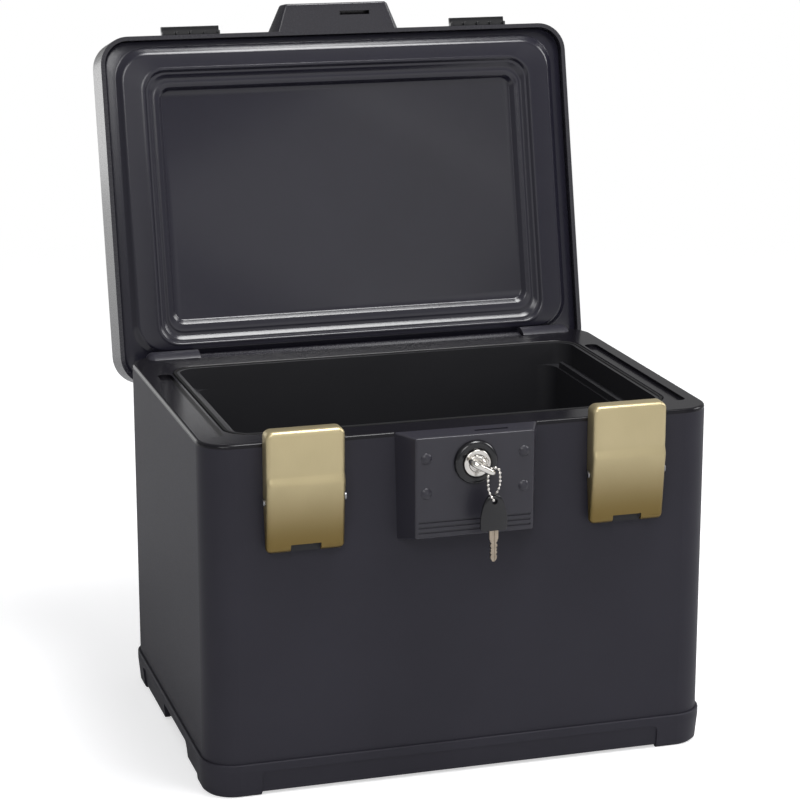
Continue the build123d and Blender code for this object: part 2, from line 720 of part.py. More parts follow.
def spare_key_blade():
    """Metal blade of the spare key."""
    x, hole, top, foot = spare_places()
    tip = foot - spare_blade_length
    narrow = spare_blade_half * 0.66
    step = foot - spare_blade_length * 0.3
    return prism_y([(x - spare_blade_half, foot + spare_bow_height / 3 - 0.1),
                    (x + spare_blade_half, foot + spare_bow_height / 3 - 0.1),
                    (x + spare_blade_half, step), (x + narrow, step - 2), (x + narrow, tip + 2), (x + 1, tip),
                    (x - 1, tip), (x - narrow, tip + 2), (x - narrow, step - 2), (x - spare_blade_half, step)],
                   chain_y - key_thickness / 2, chain_y + key_thickness / 2)


def latch_profile(skin):
    """Side view of a latch cover, its front and its top moved inwards by a skin."""
    front = front_face - latch_depth + skin
    back = front_face - latch_back_gap
    foot = front + latch_taper
    top = latch_top - skin
    return [(back, top), (front, top), (front, latch_crease + crease_half), (front - crease_rise, latch_crease),
            (front, latch_crease - crease_half), (foot, latch_bottom),
            (front_face - latch_depth + latch_taper + latch_foot_depth, latch_bottom),
            (back, latch_pivot_height + lug_radius)]


def latch_cover(side):
    """Sprung cover whose top lip hooks over the catch on the lid."""
    x = side * latch_x
    body = prism_x(latch_profile(0), x - latch_half, x + latch_half)
    corners = body.edges().filter_by(Axis.Y).group_by(Axis.Z)
    body = fillet(corners[-1], latch_top_corner)
    body = fillet([e for e in body.edges().filter_by(Axis.Y) if e.center().Z < latch_bottom + 1], latch_foot_corner)
    front = front_face - latch_depth
    outer = [e for e in body.edges() if e.center().Y < front + latch_taper + 0.1
             and abs(e.tangent_at(0.5).X) < 0.99 or abs(e.center().Z - latch_top) < 0.1 and e.center().Y < front + 0.1]
    body = fillet(outer, latch_edge_radius)
    inner = prism_x(latch_profile(latch_wall), x - latch_half + latch_wall, x + latch_half - latch_wall)
    inner += span(x - latch_half + latch_wall, x + latch_half - latch_wall, front_face - latch_back_gap - 4,
                  front_face + 1, latch_bottom - 1, latch_top - latch_lip)
    body -= inner & span(x - latch_half, x + latch_half, front - 5, front_face + 5, 0, latch_top - latch_lip)
    body -= span(x - notch_half, x + notch_half, front - 5, front_face, latch_bottom - 1, latch_bottom + notch_height)
    hole = pin_radius + shaft_gap
    return body - bar_x(x - latch_half - 1, x + latch_half + 1, latch_pivot_y, latch_pivot_height, hole)


def latch_bracket(side):
    """Bracket on the shell that carries a latch's pin between two lugs."""
    x = side * latch_x
    plate = front_face - bracket_thickness
    foot = latch_pivot_height - bracket_drop
    body = span(x - bracket_half, x + bracket_half, plate, front_face, foot, latch_pivot_height + bracket_rise)
    body += span(x - toe_half, x + toe_half, plate, front_face, latch_bottom, foot)
    body += span(x - toe_half, x + toe_half, front_face - toe_reach, front_face, latch_bottom,
                 latch_bottom + toe_height)
    for edge in (-1, 1):
        low, high = sorted((x + edge * bracket_half, x + edge * (bracket_half - lug_width)))
        body += bar_x(low, high, latch_pivot_y, latch_pivot_height, lug_radius)
        body += span(low, high, latch_pivot_y, front_face, latch_pivot_height - lug_radius,
                     latch_pivot_height + lug_radius)
    body -= bar_x(x - bracket_half - 1, x + bracket_half + 1, latch_pivot_y, latch_pivot_height, pin_radius)
    for offset in screw_offsets:
        body -= bar_y(x, plate - 1, front_face + 1, latch_pivot_height + offset, fixing_radius)
    return body


def bracket_screws():
    """Four screws that hold the latch brackets to the shell."""
    plate = front_face - bracket_thickness
    screws = []
    for side in (-1, 1):
        for offset in screw_offsets:
            height = latch_pivot_height + offset
            end = front_face + shell_wall + screw_end
            head = bar_y(side * latch_x, plate - fixing_head, plate, height, fixing_head_radius)
            screws.append(head + bar_y(side * latch_x, plate, end, height, fixing_radius))
    return Compound(screws)


def latch_pin(side):
    """Headed pin that a latch cover rocks on."""
    x = side * latch_x
    end = latch_half + running_gap
    body = bar_x(x - end, x + end, latch_pivot_y, latch_pivot_height, pin_radius)
    for edge in (-1, 1):
        body += bar_x(x + edge * end, x + edge * (end + pin_head), latch_pivot_y, latch_pivot_height,
                      pin_head_radius)
    return body


def lid_knuckle():
    """Long hinge knuckle with the web that joins it to the lid and serves as its stop."""
    rear = stop_drop * sin(radians(lid_open_angle)) + hinge_inset * cos(radians(lid_open_angle)) - swing_gap / 2
    knuckle = bar_x(-barrel_half, barrel_half, hinge_y, hinge_z, barrel_radius)
    knuckle += span(-barrel_half, barrel_half, web_front, hinge_y + rear, hinge_z, border_plane - seam_gap)
    return knuckle - bar_x(-barrel_half - 1, barrel_half + 1, hinge_y, hinge_z, rod_radius + running_gap / 2)


def lid_shell():
    """Moulded lid with rounded top edges and the long hinge knuckle."""
    body = slab(lid_outline, rim_plane, lid_top)
    body = fillet(body.edges().group_by(Axis.Z)[-1], lid_edge_radius)
    body -= lid_room(lid_inside)
    return body + lid_knuckle()


def lid_room(outline):
    """Space inside the lid's shell, or the filling in it, with rounded top edges."""
    room = slab(outline, rim_plane - 1, lid_top - lid_wall)
    return fillet(room.edges().group_by(Axis.Z)[-1], lid_edge_radius - lid_wall)


def lining_block(skin):
    """What lies above the lid lining's lower surface, with that surface moved up by a skin."""
    body = slab(inset(lid_inside, seam_gap), border_plane + skin, lid_top + 1)
    body += slope(inset(ring_crest, skin), rim_plane + skin, inset(ring_root, skin), border_plane + skin)
    middle = rim_plane + groove_level + skin
    body -= slope(inset(groove_rim, -skin), rim_plane + skin, inset(groove_floor, -skin), middle)
    body -= slope(inset(field_rim, -skin), middle, inset(field, -skin), rim_plane + field_level + skin)
    return body


def lid_liner():
    """Moulded lining that closes the lid, with the ring that drops inside the chest's rim."""
    body = lining_block(0) & slab(lid_outline, rim_plane - 1, rim_plane + field_level + lining_wall)
    return body - lining_block(lining_wall)


def lid_filling():
    """Cast filling between the lid's shell and its lining."""
    return lining_block(lining_wall + filling_gap) & lid_room(inset(lid_inside, filling_gap))


def hasp_block(skin):
    """Tapered nose on the lid's front as a solid with its faces moved inwards by a skin."""
    faces = []
    tip = lid_front - hasp_reach + skin
    bottom = rim_plane + (hasp_floor if skin else 0)
    lean = hasp_flare * (bottom - rim_plane) / hasp_root_height
    for lift, height in ((lean, bottom), (hasp_flare, rim_plane + hasp_root_height)):
        root_half = hasp_root_half + lift - skin
        tip_half = hasp_tip_half + lift - skin
        wire = Polyline((-root_half, lid_front, height), (root_half, lid_front, height),
                        (tip_half, tip, height), (-tip_half, tip, height), close=True)
        faces.append(make_face(wire))
    body = loft(faces, ruled=True)
    drop = (hasp_root_height - hasp_tip_height) / hasp_reach
    high = rim_plane + hasp_root_height - skin
    reach = hasp_reach + 5
    return body - prism_x([(lid_front + 5, high + 5 * drop), (lid_front - reach, high - reach * drop),
                           (lid_front - reach, high + reach), (lid_front + 5, high + reach)], -half_width, half_width)


def lid_hasp():
    """Hollow nose whose slotted floor the hook reaches through."""
    body = hasp_block(0)
    outer = [edge for edge in body.edges() if edge.center().Y < lid_front - 0.1
             and edge.center().Z > rim_plane + 0.1]
    body = fillet(outer, hasp_edge_radius)
    body -= hasp_block(hasp_wall)
    return body - span(slot_left, slot_right, hook_plane - slot_width / 2, hook_plane + slot_width / 2,
                       rim_plane - 1, rim_plane + 2 * hasp_floor)


def latch_catch(side):
    """Ribbed ledge on the lid's front that a latch's lip hooks over."""
    x = side * latch_x
    foot = rim_plane + catch_foot
    front = lid_front - catch_reach
    body = span(x - catch_half, x + catch_half, front, lid_front, catch_top - catch_web, catch_top)
    pitch = (2 * catch_half - catch_rib_width) / (catch_ribs - 1)
    for count in range(catch_ribs):
        left = x - catch_half + count * pitch
        body += span(left, left + catch_rib_width, front, lid_front, foot, catch_top)
    return body


def parts():
    """Every piece of the chest by the name of its node."""
    pieces = {
        "outer_shell": outer_shell(), "base_tray": base_tray(), "fill_plugs": fill_plugs(),
        "inner_liner": inner_liner(), "wall_filling": wall_filling(), "rim_gasket": rim_gasket(),
        "hinge_rod": bar_x(-rod_half, rod_half, hinge_y, hinge_z, rod_radius), "hinge_plugs": hinge_plugs(),
        "lock_housing": lock_housing(), "lock_rivets": lock_rivets(), "lock_bezel": lock_bezel(),
        "lock_body": lock_body(), "lock_nut": lock_nut(), "lock_plug": lock_plug(), "hook_cam": hook_cam(),
        "cam_screw": cam_screw(), "lock_key": lock_key(), "key_chain": key_chain(),
        "spare_key_bow": spare_key_bow(), "spare_key_blade": spare_key_blade(),
        "bracket_screws": bracket_screws(),
    }
    for name, side in (("left", -1), ("right", 1)):
        pieces[f"latch_cover_{name}"] = latch_cover(side)
        pieces[f"latch_bracket_{name}"] = latch_bracket(side)
        pieces[f"latch_pin_{name}"] = latch_pin(side)
        pieces[f"latch_catch_{name}"] = swung_open(latch_catch(side))
    for name, piece in (("lid_shell", lid_shell()), ("lid_liner", lid_liner()), ("lid_filling", lid_filling()),
                        ("lid_hasp", lid_hasp())):
        pieces[name] = swung_open(piece)
    return pieces


os.makedirs("parts", exist_ok=True)
for name, piece in parts().items():
    export_step(piece, f"parts/{name}.step")
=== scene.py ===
import bmesh
import bpy
import json
from math import radians, pi
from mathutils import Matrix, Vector


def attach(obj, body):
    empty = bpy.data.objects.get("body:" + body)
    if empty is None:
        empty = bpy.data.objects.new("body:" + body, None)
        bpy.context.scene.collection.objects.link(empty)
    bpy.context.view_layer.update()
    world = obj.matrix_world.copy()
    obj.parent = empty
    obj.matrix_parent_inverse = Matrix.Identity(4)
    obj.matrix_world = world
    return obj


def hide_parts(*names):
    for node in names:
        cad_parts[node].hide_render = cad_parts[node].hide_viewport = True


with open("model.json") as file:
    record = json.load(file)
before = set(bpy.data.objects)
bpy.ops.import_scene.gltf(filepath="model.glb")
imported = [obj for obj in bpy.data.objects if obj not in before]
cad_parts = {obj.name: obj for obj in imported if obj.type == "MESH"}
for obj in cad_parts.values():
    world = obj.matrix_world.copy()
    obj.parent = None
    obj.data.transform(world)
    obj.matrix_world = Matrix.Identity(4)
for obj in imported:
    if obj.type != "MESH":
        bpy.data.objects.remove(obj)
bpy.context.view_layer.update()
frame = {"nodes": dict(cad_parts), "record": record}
nodes = frame["nodes"]
print("frame loaded:", len(nodes), "nodes")


# colours are written in sRGB, and the shaders take linear values
def toLinear(hexColour):
    channels = [int(hexColour[i:i + 2], 16) / 255 for i in (1, 3, 5)]
    return [c / 12.92 if c <= 0.04045 else ((c + 0.055) / 1.055) ** 2.4 for c in channels] + [1]


def addNode(tree, kind, settings=None, inputs=None):
    node = tree.nodes.new(kind)
    for name, value in (settings or {}).items():
        setattr(node, name, value)
    for name, value in (inputs or {}).items():
        if isinstance(value, bpy.types.NodeSocket):
            tree.links.new(value, node.inputs[name])
        else:
            node.inputs[name].default_value = value
    return node


def newMaterial(name):
    material = bpy.data.materials.new(name)
    material.use_nodes = True
    material.node_tree.nodes.clear()
    return material, material.node_tree


# what all finishes share: how far the roughness of a plastic strays, and two lengths in millimetres
surface = {"glossSpread": 0.06, "rimBlend": 0.8, "scratchDepth": 0.04}


# moulded plastic: one colour through and through, with a spark-eroded grain that breaks up the shine
def mouldedPlastic(name, look):
    material, tree = newMaterial(name)
    place = addNode(tree, "ShaderNodeTexCoord").outputs["Object"]
    # broad, faint unevenness of tone, as flow in the mould leaves it
    flow = addNode(tree, "ShaderNodeTexNoise", inputs={
        "Vector": place, "Scale": 1000 / look["flowSize"], "Detail": 3.0, "Roughness": 0.55})
    tone = addNode(tree, "ShaderNodeMix", {"data_type": "RGBA"}, {
        0: flow.outputs["Fac"], 6: toLinear(look["dark"]), 7: toLinear(look["light"])})
    # the real grain is finer than the render can show, so it is drawn coarser
    grain = addNode(tree, "ShaderNodeTexNoise", inputs={
        "Vector": place, "Scale": 1000 / look["grainSize"], "Detail": 2.0, "Roughness": 0.6})
    bump = addNode(tree, "ShaderNodeBump", inputs={
        "Height": grain.outputs["Fac"], "Strength": look["grainStrength"], "Distance": look["grainDepth"] / 1000})
    gloss = addNode(tree, "ShaderNodeMapRange", inputs={
        "Value": grain.outputs["Fac"], "To Min": look["roughness"] - surface["glossSpread"],
        "To Max": look["roughness"] + surface["glossSpread"]})
    roughness = gloss.outputs["Result"]
    if "polishedAbove" in look:     # the mould is grained only below this height, and polished round the rim
        height = addNode(tree, "ShaderNodeSeparateXYZ", inputs={"Vector": place}).outputs["Z"]
        rim = addNode(tree, "ShaderNodeMapRange", inputs={
            "Value": height, "From Min": (look["polishedAbove"] - surface["rimBlend"]) / 1000,
            "From Max": look["polishedAbove"] / 1000})
        roughness = addNode(tree, "ShaderNodeMix", inputs={
            0: rim.outputs["Result"], 2: gloss.outputs["Result"], 3: look["rimRoughness"]}).outputs[0]
        # painted shade: the rim's colour is darkened to hold down the overhead light falling on its top
        tone = addNode(tree, "ShaderNodeMix", {"data_type": "RGBA"}, {
            0: rim.outputs["Result"], 6: tone.outputs[2], 7: toLinear(look["paintedRimShade"])})
    shader = addNode(tree, "ShaderNodeBsdfPrincipled", inputs={
        "Base Color": tone.outputs[2], "Roughness": roughness, "Normal": bump.outputs["Normal"],
        "IOR": look["ior"], "Specular IOR Level": look["specular"]})
    addNode(tree, "ShaderNodeOutputMaterial", inputs={"Surface": shader.outputs[0]})
    return material


# metal: the shine carries it, with fine scratches or brushing laid over
def bareMetal(name, look):
    material, tree = newMaterial(name)
    place = addNode(tree, "ShaderNodeTexCoord").outputs["Object"]
    stretched = addNode(tree, "ShaderNodeMapping", inputs={"Vector": place, "Scale": look["stretch"]})
    lines = addNode(tree, "ShaderNodeTexNoise", inputs={
        "Vector": stretched.outputs["Vector"], "Scale": 1000 / look["lineSize"], "Detail": 4.0})
    patches = addNode(tree, "ShaderNodeTexNoise", inputs={"Vector": place, "Scale": 1000 / look["patchSize"]})
    tone = addNode(tree, "ShaderNodeMix", {"data_type": "RGBA"}, {
        0: patches.outputs["Fac"], 6: toLinear(look["dark"]), 7: toLinear(look["light"])})
    if "paintedFootShade" in look:      # painted shade: darker towards the foot, standing in for the dim floor that the lower panel reflects
        height = addNode(tree, "ShaderNodeSeparateXYZ", inputs={"Vector": place}).outputs["Z"]
        footShadeMask = addNode(tree, "ShaderNodeMapRange", {"interpolation_type": "SMOOTHSTEP"}, {
            "Value": height, "From Min": look["footFrom"] / 1000, "From Max": look["footTo"] / 1000})
        tone = addNode(tree, "ShaderNodeMix", {"data_type": "RGBA"}, {
            0: footShadeMask.outputs["Result"], 6: tone.outputs[2], 7: toLinear(look["paintedFootShade"])})
    gloss = addNode(tree, "ShaderNodeMapRange", inputs={
        "Value": lines.outputs["Fac"], "To Min": look["roughness"] - look["spread"],
        "To Max": look["roughness"] + look["spread"]})
    bump = addNode(tree, "ShaderNodeBump", inputs={
        "Height": lines.outputs["Fac"], "Strength": look["lineStrength"],
        "Distance": surface["scratchDepth"] / 1000})
    shader = addNode(tree, "ShaderNodeBsdfPrincipled", inputs={
        "Base Color": tone.outputs[2], "Metallic": look["metallic"], "Roughness": gloss.outputs["Result"],
        "Normal": bump.outputs["Normal"]})
    addNode(tree, "ShaderNodeOutputMaterial", inputs={"Surface": shader.outputs[0]})
    return material


# ABS case moulding: charcoal with a cool cast, fine even grain, dull shine, and painted shade darkening the polished
# rim
grainedCase = mouldedPlastic("grainedCaseAbs", {
    "dark": "#25242B", "light": "#2D2C34", "flowSize": 90, "grainSize": 1.1, "grainStrength": 0.35,
    "grainDepth": 0.12, "roughness": 0.48, "ior": 1.5, "specular": 0.18, "polishedAbove": 276.2,
    "rimRoughness": 0.17, "paintedRimShade": "#141317"})
# the lid's shell and hasp are the same ABS from a smoother mould, so their sides throw back more of the light
smoothCase = mouldedPlastic("smoothCaseAbs", {
    "dark": "#1D1C22", "light": "#232229", "flowSize": 90, "grainSize": 1.6, "grainStrength": 0.02,
    "grainDepth": 0.05, "roughness": 0.27, "ior": 1.5, "specular": 0.5})
# lock housing, its rivets and the knuckle crowns: the same ABS, smooth from the mould and a shade greyer
smoothNose = mouldedPlastic("smoothNoseAbs", {
    "dark": "#27262D", "light": "#2C2B33", "flowSize": 60, "grainSize": 1.6, "grainStrength": 0.02,
    "grainDepth": 0.03, "roughness": 0.34, "ior": 1.5, "specular": 0.4})
# polypropylene lining: smoother and glossier than the case, so its ring shows bright edges
smoothLining = mouldedPlastic("smoothLiningPp", {
    "dark": "#1B1A23", "light": "#21202A", "flowSize": 60, "grainSize": 2.2, "grainStrength": 0.1,
    "grainDepth": 0.06, "roughness": 0.22, "ior": 1.49, "specular": 0.5})
# polypropylene compartment: satin, darker where light hardly reaches
satinCompartment = mouldedPlastic("satinCompartmentPp", {
    "dark": "#1B1B1E", "light": "#212124", "flowSize": 70, "grainSize": 1.6, "grainStrength": 0.25,
    "grainDepth": 0.1, "roughness": 0.42, "ior": 1.49, "specular": 0.5})
# black ABS small parts: bezel, key bow and catches
blackAbs = mouldedPlastic("blackSatinAbs", {
    "dark": "#0F0F12", "light": "#151518", "flowSize": 20, "grainSize": 0.9, "grainStrength": 0.1,
    "grainDepth": 0.05, "roughness": 0.2, "ior": 1.5, "specular": 0.5})
# EPDM seal: dead black and dry
sealRubber = mouldedPlastic("sealRubberEpdm", {
    "dark": "#0D0D0E", "light": "#141415", "flowSize": 15, "grainSize": 1.0, "grainStrength": 0.3,
    "grainDepth": 0.1, "roughness": 0.8, "ior": 1.5, "specular": 0.3})
# perlite plaster filling, hidden between the walls
castFilling = mouldedPlastic("castPerliteFilling", {
    "dark": "#B4AEA2", "light": "#C9C4B9", "flowSize": 12, "grainSize": 2.5, "grainStrength": 0.8,
    "grainDepth": 0.8, "roughness": 0.9, "ior": 1.45, "specular": 0.2})
# gold lacquer over zinc latches: satin, warm, with a faint vertical brushing, and painted shade darkening them
# towards the foot
satinGold = bareMetal("satinGoldLacquer", {
    "dark": "#B3A682", "light": "#C6B892", "paintedFootShade": "#76643A", "footFrom": 262, "footTo": 200,
    "stretch": (1.0, 1.0, 0.08), "lineSize": 0.7, "patchSize": 40, "roughness": 0.42, "spread": 0.07,
    "lineStrength": 0.15, "metallic": 0.85})
# chrome plate on zinc and steel: nearly a mirror, with hairline handling marks
polishedChrome = bareMetal("polishedChromePlate", {
    "dark": "#C9C6C1", "light": "#DEDBD6", "stretch": (1.0, 1.0, 1.0), "lineSize": 1.5, "patchSize": 8,
    "roughness": 0.16, "spread": 0.05, "lineStrength": 0.08, "metallic": 1.0})
# bright zinc on screws, pins and the hook: greyer and duller than chrome
brightZinc = bareMetal("brightZincPlate", {
    "dark": "#77787B", "light": "#96979A", "stretch": (1.0, 1.0, 1.0), "lineSize": 0.8, "patchSize": 6,
    "roughness": 0.35, "spread": 0.1, "lineStrength": 0.2, "metallic": 1.0})
# black coating on the latch brackets
blackCoatedSteel = bareMetal("blackCoatedSteel", {
    "dark": "#1A1A1C", "light": "#232326", "stretch": (1.0, 1.0, 1.0), "lineSize": 1.0, "patchSize": 10,
    "roughness": 0.5, "spread": 0.08, "lineStrength": 0.2, "metallic": 0.4})
# nickel over brass key blade: pale gold-grey, milled
nickelBrass = bareMetal("nickelPlatedBrass", {
    "dark": "#857A6D", "light": "#B8AB9A", "stretch": (1.0, 1.0, 0.15), "lineSize": 0.5, "patchSize": 5,
    "roughness": 0.3, "spread": 0.08, "lineStrength": 0.25, "metallic": 1.0})
print("materials made")

finishOf = {
    "case_plastic": grainedCase, "lining_plastic": smoothLining, "liner_plastic": satinCompartment,
    "filling": castFilling, "gasket_rubber": sealRubber, "steel": brightZinc, "dark_steel": blackCoatedSteel,
    "black_plastic": blackAbs, "gold_finish": satinGold, "chrome": polishedChrome, "key_brass": nickelBrass}
slotOf = {part["node"]: part["material_slot"] for part in frame["record"]["subparts"]}
# nodes that come smoother from the mould than the rest of their slot
smootherNodes = {"lid_shell": smoothCase, "hinge_plugs": smoothCase, "lock_rivets": smoothNose}
for name, node in nodes.items():
    node.data.materials.clear()
    node.data.materials.append(smootherNodes.get(name, finishOf[slotOf[name]]))

# pieces are drawn in millimetres, in the frame of the chest, and settle() brings them to metres
metresPerUnit = 0.001
# how far two places may lie apart and still count as one
slack = 0.02
# points closer than this are merged when a piece is done
mergeWithin = 0.002
# how far beyond a line a pick reaches, so as to take what lies on it
margin = 0.1
# a face looks along an axis when its normal has at least this share of it
facing = 0.99


def holdOnly(piece):
    bpy.ops.object.select_all(action="DESELECT")
    piece.select_set(True)
    bpy.context.view_layer.objects.active = piece


def middleOf(face):
    return sum((vert.co for vert in face.verts), Vector()) / len(face.verts)


# whether the middle of the face lies in an opening, given as its reach along x and y
def isIn(face, opening):
    return all(low < value < high for value, (low, high) in zip(middleOf(face), opening))


# selects in edit mode what passes the test
def pick(kind, test):
    mesh = bmesh.from_edit_mesh(bpy.context.edit_object.data)
    bpy.ops.mesh.select_mode(type=kind)
    bpy.ops.mesh.select_all(action="DESELECT")
    for item in {"VERT": mesh.verts, "EDGE": mesh.edges, "FACE": mesh.faces}[kind]:
        if test(item):
            item.select_set(True)
    mesh.select_flush_mode()
    bmesh.update_edit_mesh(bpy.context.edit_object.data)


def shift(x=0, y=0, z=0):
    bpy.ops.transform.translate(value=(x, y, z))


# extrudes the picked faces and moves them
def pushOut(x=0, y=0, z=0):
    bpy.ops.mesh.extrude_region_move(TRANSFORM_OT_translate={"value": (x, y, z)})


# cuts the whole mesh with planes across one axis
def cutAcross(axis, places):
    across = [float(name == axis) for name in "xyz"]
    for place in places:
        bpy.ops.mesh.select_all(action="SELECT")
        bpy.ops.mesh.bisect(plane_co=[place * part for part in across], plane_no=across)


def isOn(value, place):
    return abs(value - place) < slack


# whether two faces meet at the edge more sharply than this many degrees
def isSharp(edge, degreesLeast):
    return len(edge.link_faces) == 2 and edge.calc_face_angle(0) > radians(degreesLeast)


# whether the ends of the edge lie more than a millimetre apart along the axis
def runsAlong(edge, axis):
    return abs(getattr(edge.verts[0].co, axis) - getattr(edge.verts[1].co, axis)) > 1


def roundEdges(width, steps, test):
    pick("EDGE", test)
    bpy.ops.mesh.bevel(offset=width, segments=steps, affect="EDGES")


def removeFaces(test):
    pick("FACE", test)
    bpy.ops.mesh.delete(type="FACE")


def startBlock(name, x, y, z):
    bpy.ops.object.select_all(action="DESELECT")
    bpy.ops.mesh.primitive_cube_add(size=1, location=[(low + high) / 2 for low, high in (x, y, z)])
    piece = bpy.context.active_object
    piece.name = name
    piece.scale = [high - low for low, high in (x, y, z)]
    bpy.ops.object.transform_apply(location=True, rotation=True, scale=True)
    bpy.ops.object.mode_set(mode="EDIT")
    return piece


# rounded rectangle seen along Z, as a loop of edges in the mesh being edited
def addRing(half, front, back, corner, height, steps):
    bpy.ops.mesh.select_all(action="DESELECT")
    bpy.ops.mesh.primitive_plane_add(size=1, location=(0, (front + back) / 2, height))
    bpy.ops.transform.resize(value=(2 * half, back - front, 1), center_override=(0, (front + back) / 2, height))
    bpy.ops.mesh.bevel(offset=corner, segments=steps, affect="VERTICES", offset_type="OFFSET")
    bpy.ops.mesh.delete(type="ONLY_FACE")


def useModifier(piece, kind, **settings):
    modifier = piece.modifiers.new(kind.title(), kind)
    for name, value in settings.items():
        setattr(modifier, name, value)
    bpy.ops.object.modifier_apply(modifier=modifier.name)


def cutAway(piece, cutter):
    holdOnly(piece)
    useModifier(piece, "BOOLEAN", object=cutter, operation="DIFFERENCE", solver="EXACT")
    bpy.data.objects.remove(cutter, do_unlink=True)
    holdOnly(piece)


def startDrum(name, place, radius, depth, turn=(pi / 2, 0, 0), corners=40):
    bpy.ops.object.select_all(action="DESELECT")
    bpy.ops.mesh.primitive_cylinder_add(vertices=corners, radius=radius, depth=depth, location=place, rotation=turn)
    drum = bpy.context.active_object
    drum.name = name
    bpy.ops.object.transform_apply(location=True, rotation=True, scale=True)
    return drum


# gives the faces a wall that grows inwards
def thicken(piece, wall):
    useModifier(piece, "SOLIDIFY", thickness=wall, offset=-1, use_even_offset=False)


def softenEdges(piece, width, steps=2, angle=50):
    useModifier(piece, "BEVEL", width=width, segments=steps, limit_method="ANGLE", angle_limit=radians(angle),
                use_clamp_overlap=True, harden_normals=False)


# merges points, turns the faces outwards, brings the piece to metres and ties it to its body
def settle(piece, body, replaced, finish, smoothAngle=32):
    if bpy.context.mode != "OBJECT":
        bpy.ops.object.mode_set(mode="OBJECT")
    holdOnly(piece)
    bpy.ops.object.mode_set(mode="EDIT")
    bpy.ops.mesh.select_all(action="SELECT")
    bpy.ops.mesh.remove_doubles(threshold=mergeWithin)
    bpy.ops.mesh.normals_make_consistent(inside=False)
    bpy.ops.object.mode_set(mode="OBJECT")
    piece.scale = [metresPerUnit] * 3
    bpy.ops.object.transform_apply(location=True, rotation=True, scale=True)
    bpy.ops.object.shade_smooth_by_angle(angle=radians(smoothAngle))
    piece.data.materials.clear()
    piece.data.materials.append(finish)
    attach(piece, body)
    if replaced:
        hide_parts(*replaced)


# latch covers: pressed zinc shells, rounded all round, the front stepped at the crease and leaning back below it
latch = {
    "middle": 128.0, "half": 30.2, "top": 289.8, "bottom": 195.6, "front": -158.4, "back": -145.6,
    "topCorner": 5.6, "footCorner": 4.0, "cornerSteps": 6, "edge": 3.8, "edgeSteps": 5, "wall": 2.0, "soft": 0.45,
    # height above the floor and how far the front stands back there
    "rows": ((262.0, 0.0), (257.0, 0.2), (255.2, 0.3), (254.0, 0.1), (251.8, -0.8), (249.6, -1.55), (248.2, -1.7),
             (246.2, -1.5), (241.0, -0.7), (220.0, 1.3)),
    "footLean": 3.2, "notchHalf": 11.7, "notchTop": 201.6,
    # the height from which the sides draw back from the chest, and how fast
    "clearFrom": 238.5, "clearSlope": 0.125}


def makeLatch(name, x):
    piece = startBlock(name, (x - latch["half"], x + latch["half"]), (latch["front"], latch["back"]),
                       (latch["bottom"], latch["top"]))
    for height, corner in ((latch["top"], latch["topCorner"]), (latch["bottom"], latch["footCorner"])):
        roundEdges(corner, latch["cornerSteps"],
                   lambda edge: all(isOn(vert.co.z, height) for vert in edge.verts) and runsAlong(edge, "y"))
    cutAcross("z", [height for height, back in latch["rows"]])
    for height, back in latch["rows"]:
        pick("VERT", lambda vert: isOn(vert.co.z, height) and isOn(vert.co.y, latch["front"]))
        shift(y=back)
    footTop = latch["bottom"] + latch["footCorner"] + margin
    pick("VERT", lambda vert: vert.co.z < footTop and isOn(vert.co.y, latch["front"]))
    shift(y=latch["footLean"])
    front = latch["front"] + latch["footLean"] + margin
    roundEdges(latch["edge"], latch["edgeSteps"],
               lambda edge: all(vert.co.y < front for vert in edge.verts) and isSharp(edge, 60))
    cutAcross("x", (x - latch["notchHalf"], x + latch["notchHalf"]))
    cutAcross("z", (latch["notchTop"],))
    removeFaces(lambda face: isOn(middleOf(face).y, latch["back"]) or face.normal.z < -facing
                or (middleOf(face).z < latch["notchTop"] and abs(middleOf(face).x - x) < latch["notchHalf"]))
    # the sides stand clear of the chest below the pin, so that the cover can rock
    bpy.ops.mesh.select_all(action="SELECT")
    bpy.ops.mesh.bisect(plane_co=(0, latch["back"], latch["clearFrom"]), plane_no=(0, 1, -latch["clearSlope"]),
                        clear_outer=True)
    bpy.ops.object.mode_set(mode="OBJECT")
    thicken(piece, latch["wall"])
    softenEdges(piece, latch["soft"])
    return piece


for side, sign in (("left", -1), ("right", 1)):
    settle(makeLatch("latchCover" + side.title(), sign * latch["middle"]), "latch_" + side, ["latch_cover_" + side],
           satinGold)
print("latch covers made")

# lock housing: moulded nose, narrower in front than at the shell, hollow behind
housing = {
    "top": 279.0, "back": -145.0, "front": -167.7, "backHalf": 56.4, "backFootHalf": 54.4, "frontHalf": 46.5,
    "backBottom": 195.0, "frontBottom": 201.0, "edge": 1.4, "edgeSteps": 4, "wall": 3.0,
    "grooves": (205.5, 209.5, 213.5), "grooveHalf": 44.2, "grooveWidth": 1.5, "grooveDepth": 0.9,
    # the hook comes up through this slot in the top
    "slot": ((3.0, 29.5), (-158.05, -154.65)), "boreHeight": 258.0, "boreRadius": 8.9, "boreDepth": 14}
piece = startBlock("lockHousing", (-housing["backHalf"], housing["backHalf"]), (housing["front"], housing["back"]),
                   (housing["backBottom"], housing["top"]))
for sign in (-1, 1):
    pick("VERT", lambda vert: isOn(vert.co.y, housing["front"]) and vert.co.x * sign > 0)
    shift(x=sign * (housing["frontHalf"] - housing["backHalf"]))
    pick("VERT", lambda vert: isOn(vert.co.y, housing["back"]) and vert.co.x * sign > 0
         and isOn(vert.co.z, housing["backBottom"]))
    shift(x=sign * (housing["backFootHalf"] - housing["backHalf"]))
pick("VERT", lambda vert: isOn(vert.co.y, housing["front"]) and isOn(vert.co.z, housing["backBottom"]))
shift(z=housing["frontBottom"] - housing["backBottom"])
roundEdges(housing["edge"], housing["edgeSteps"],
           lambda edge: isSharp(edge, 30) and not all(isOn(vert.co.y, housing["back"]) for vert in edge.verts))
cutAcross("x", (-housing["grooveHalf"], housing["grooveHalf"], *housing["slot"][0]))
cutAcross("y", housing["slot"][1])
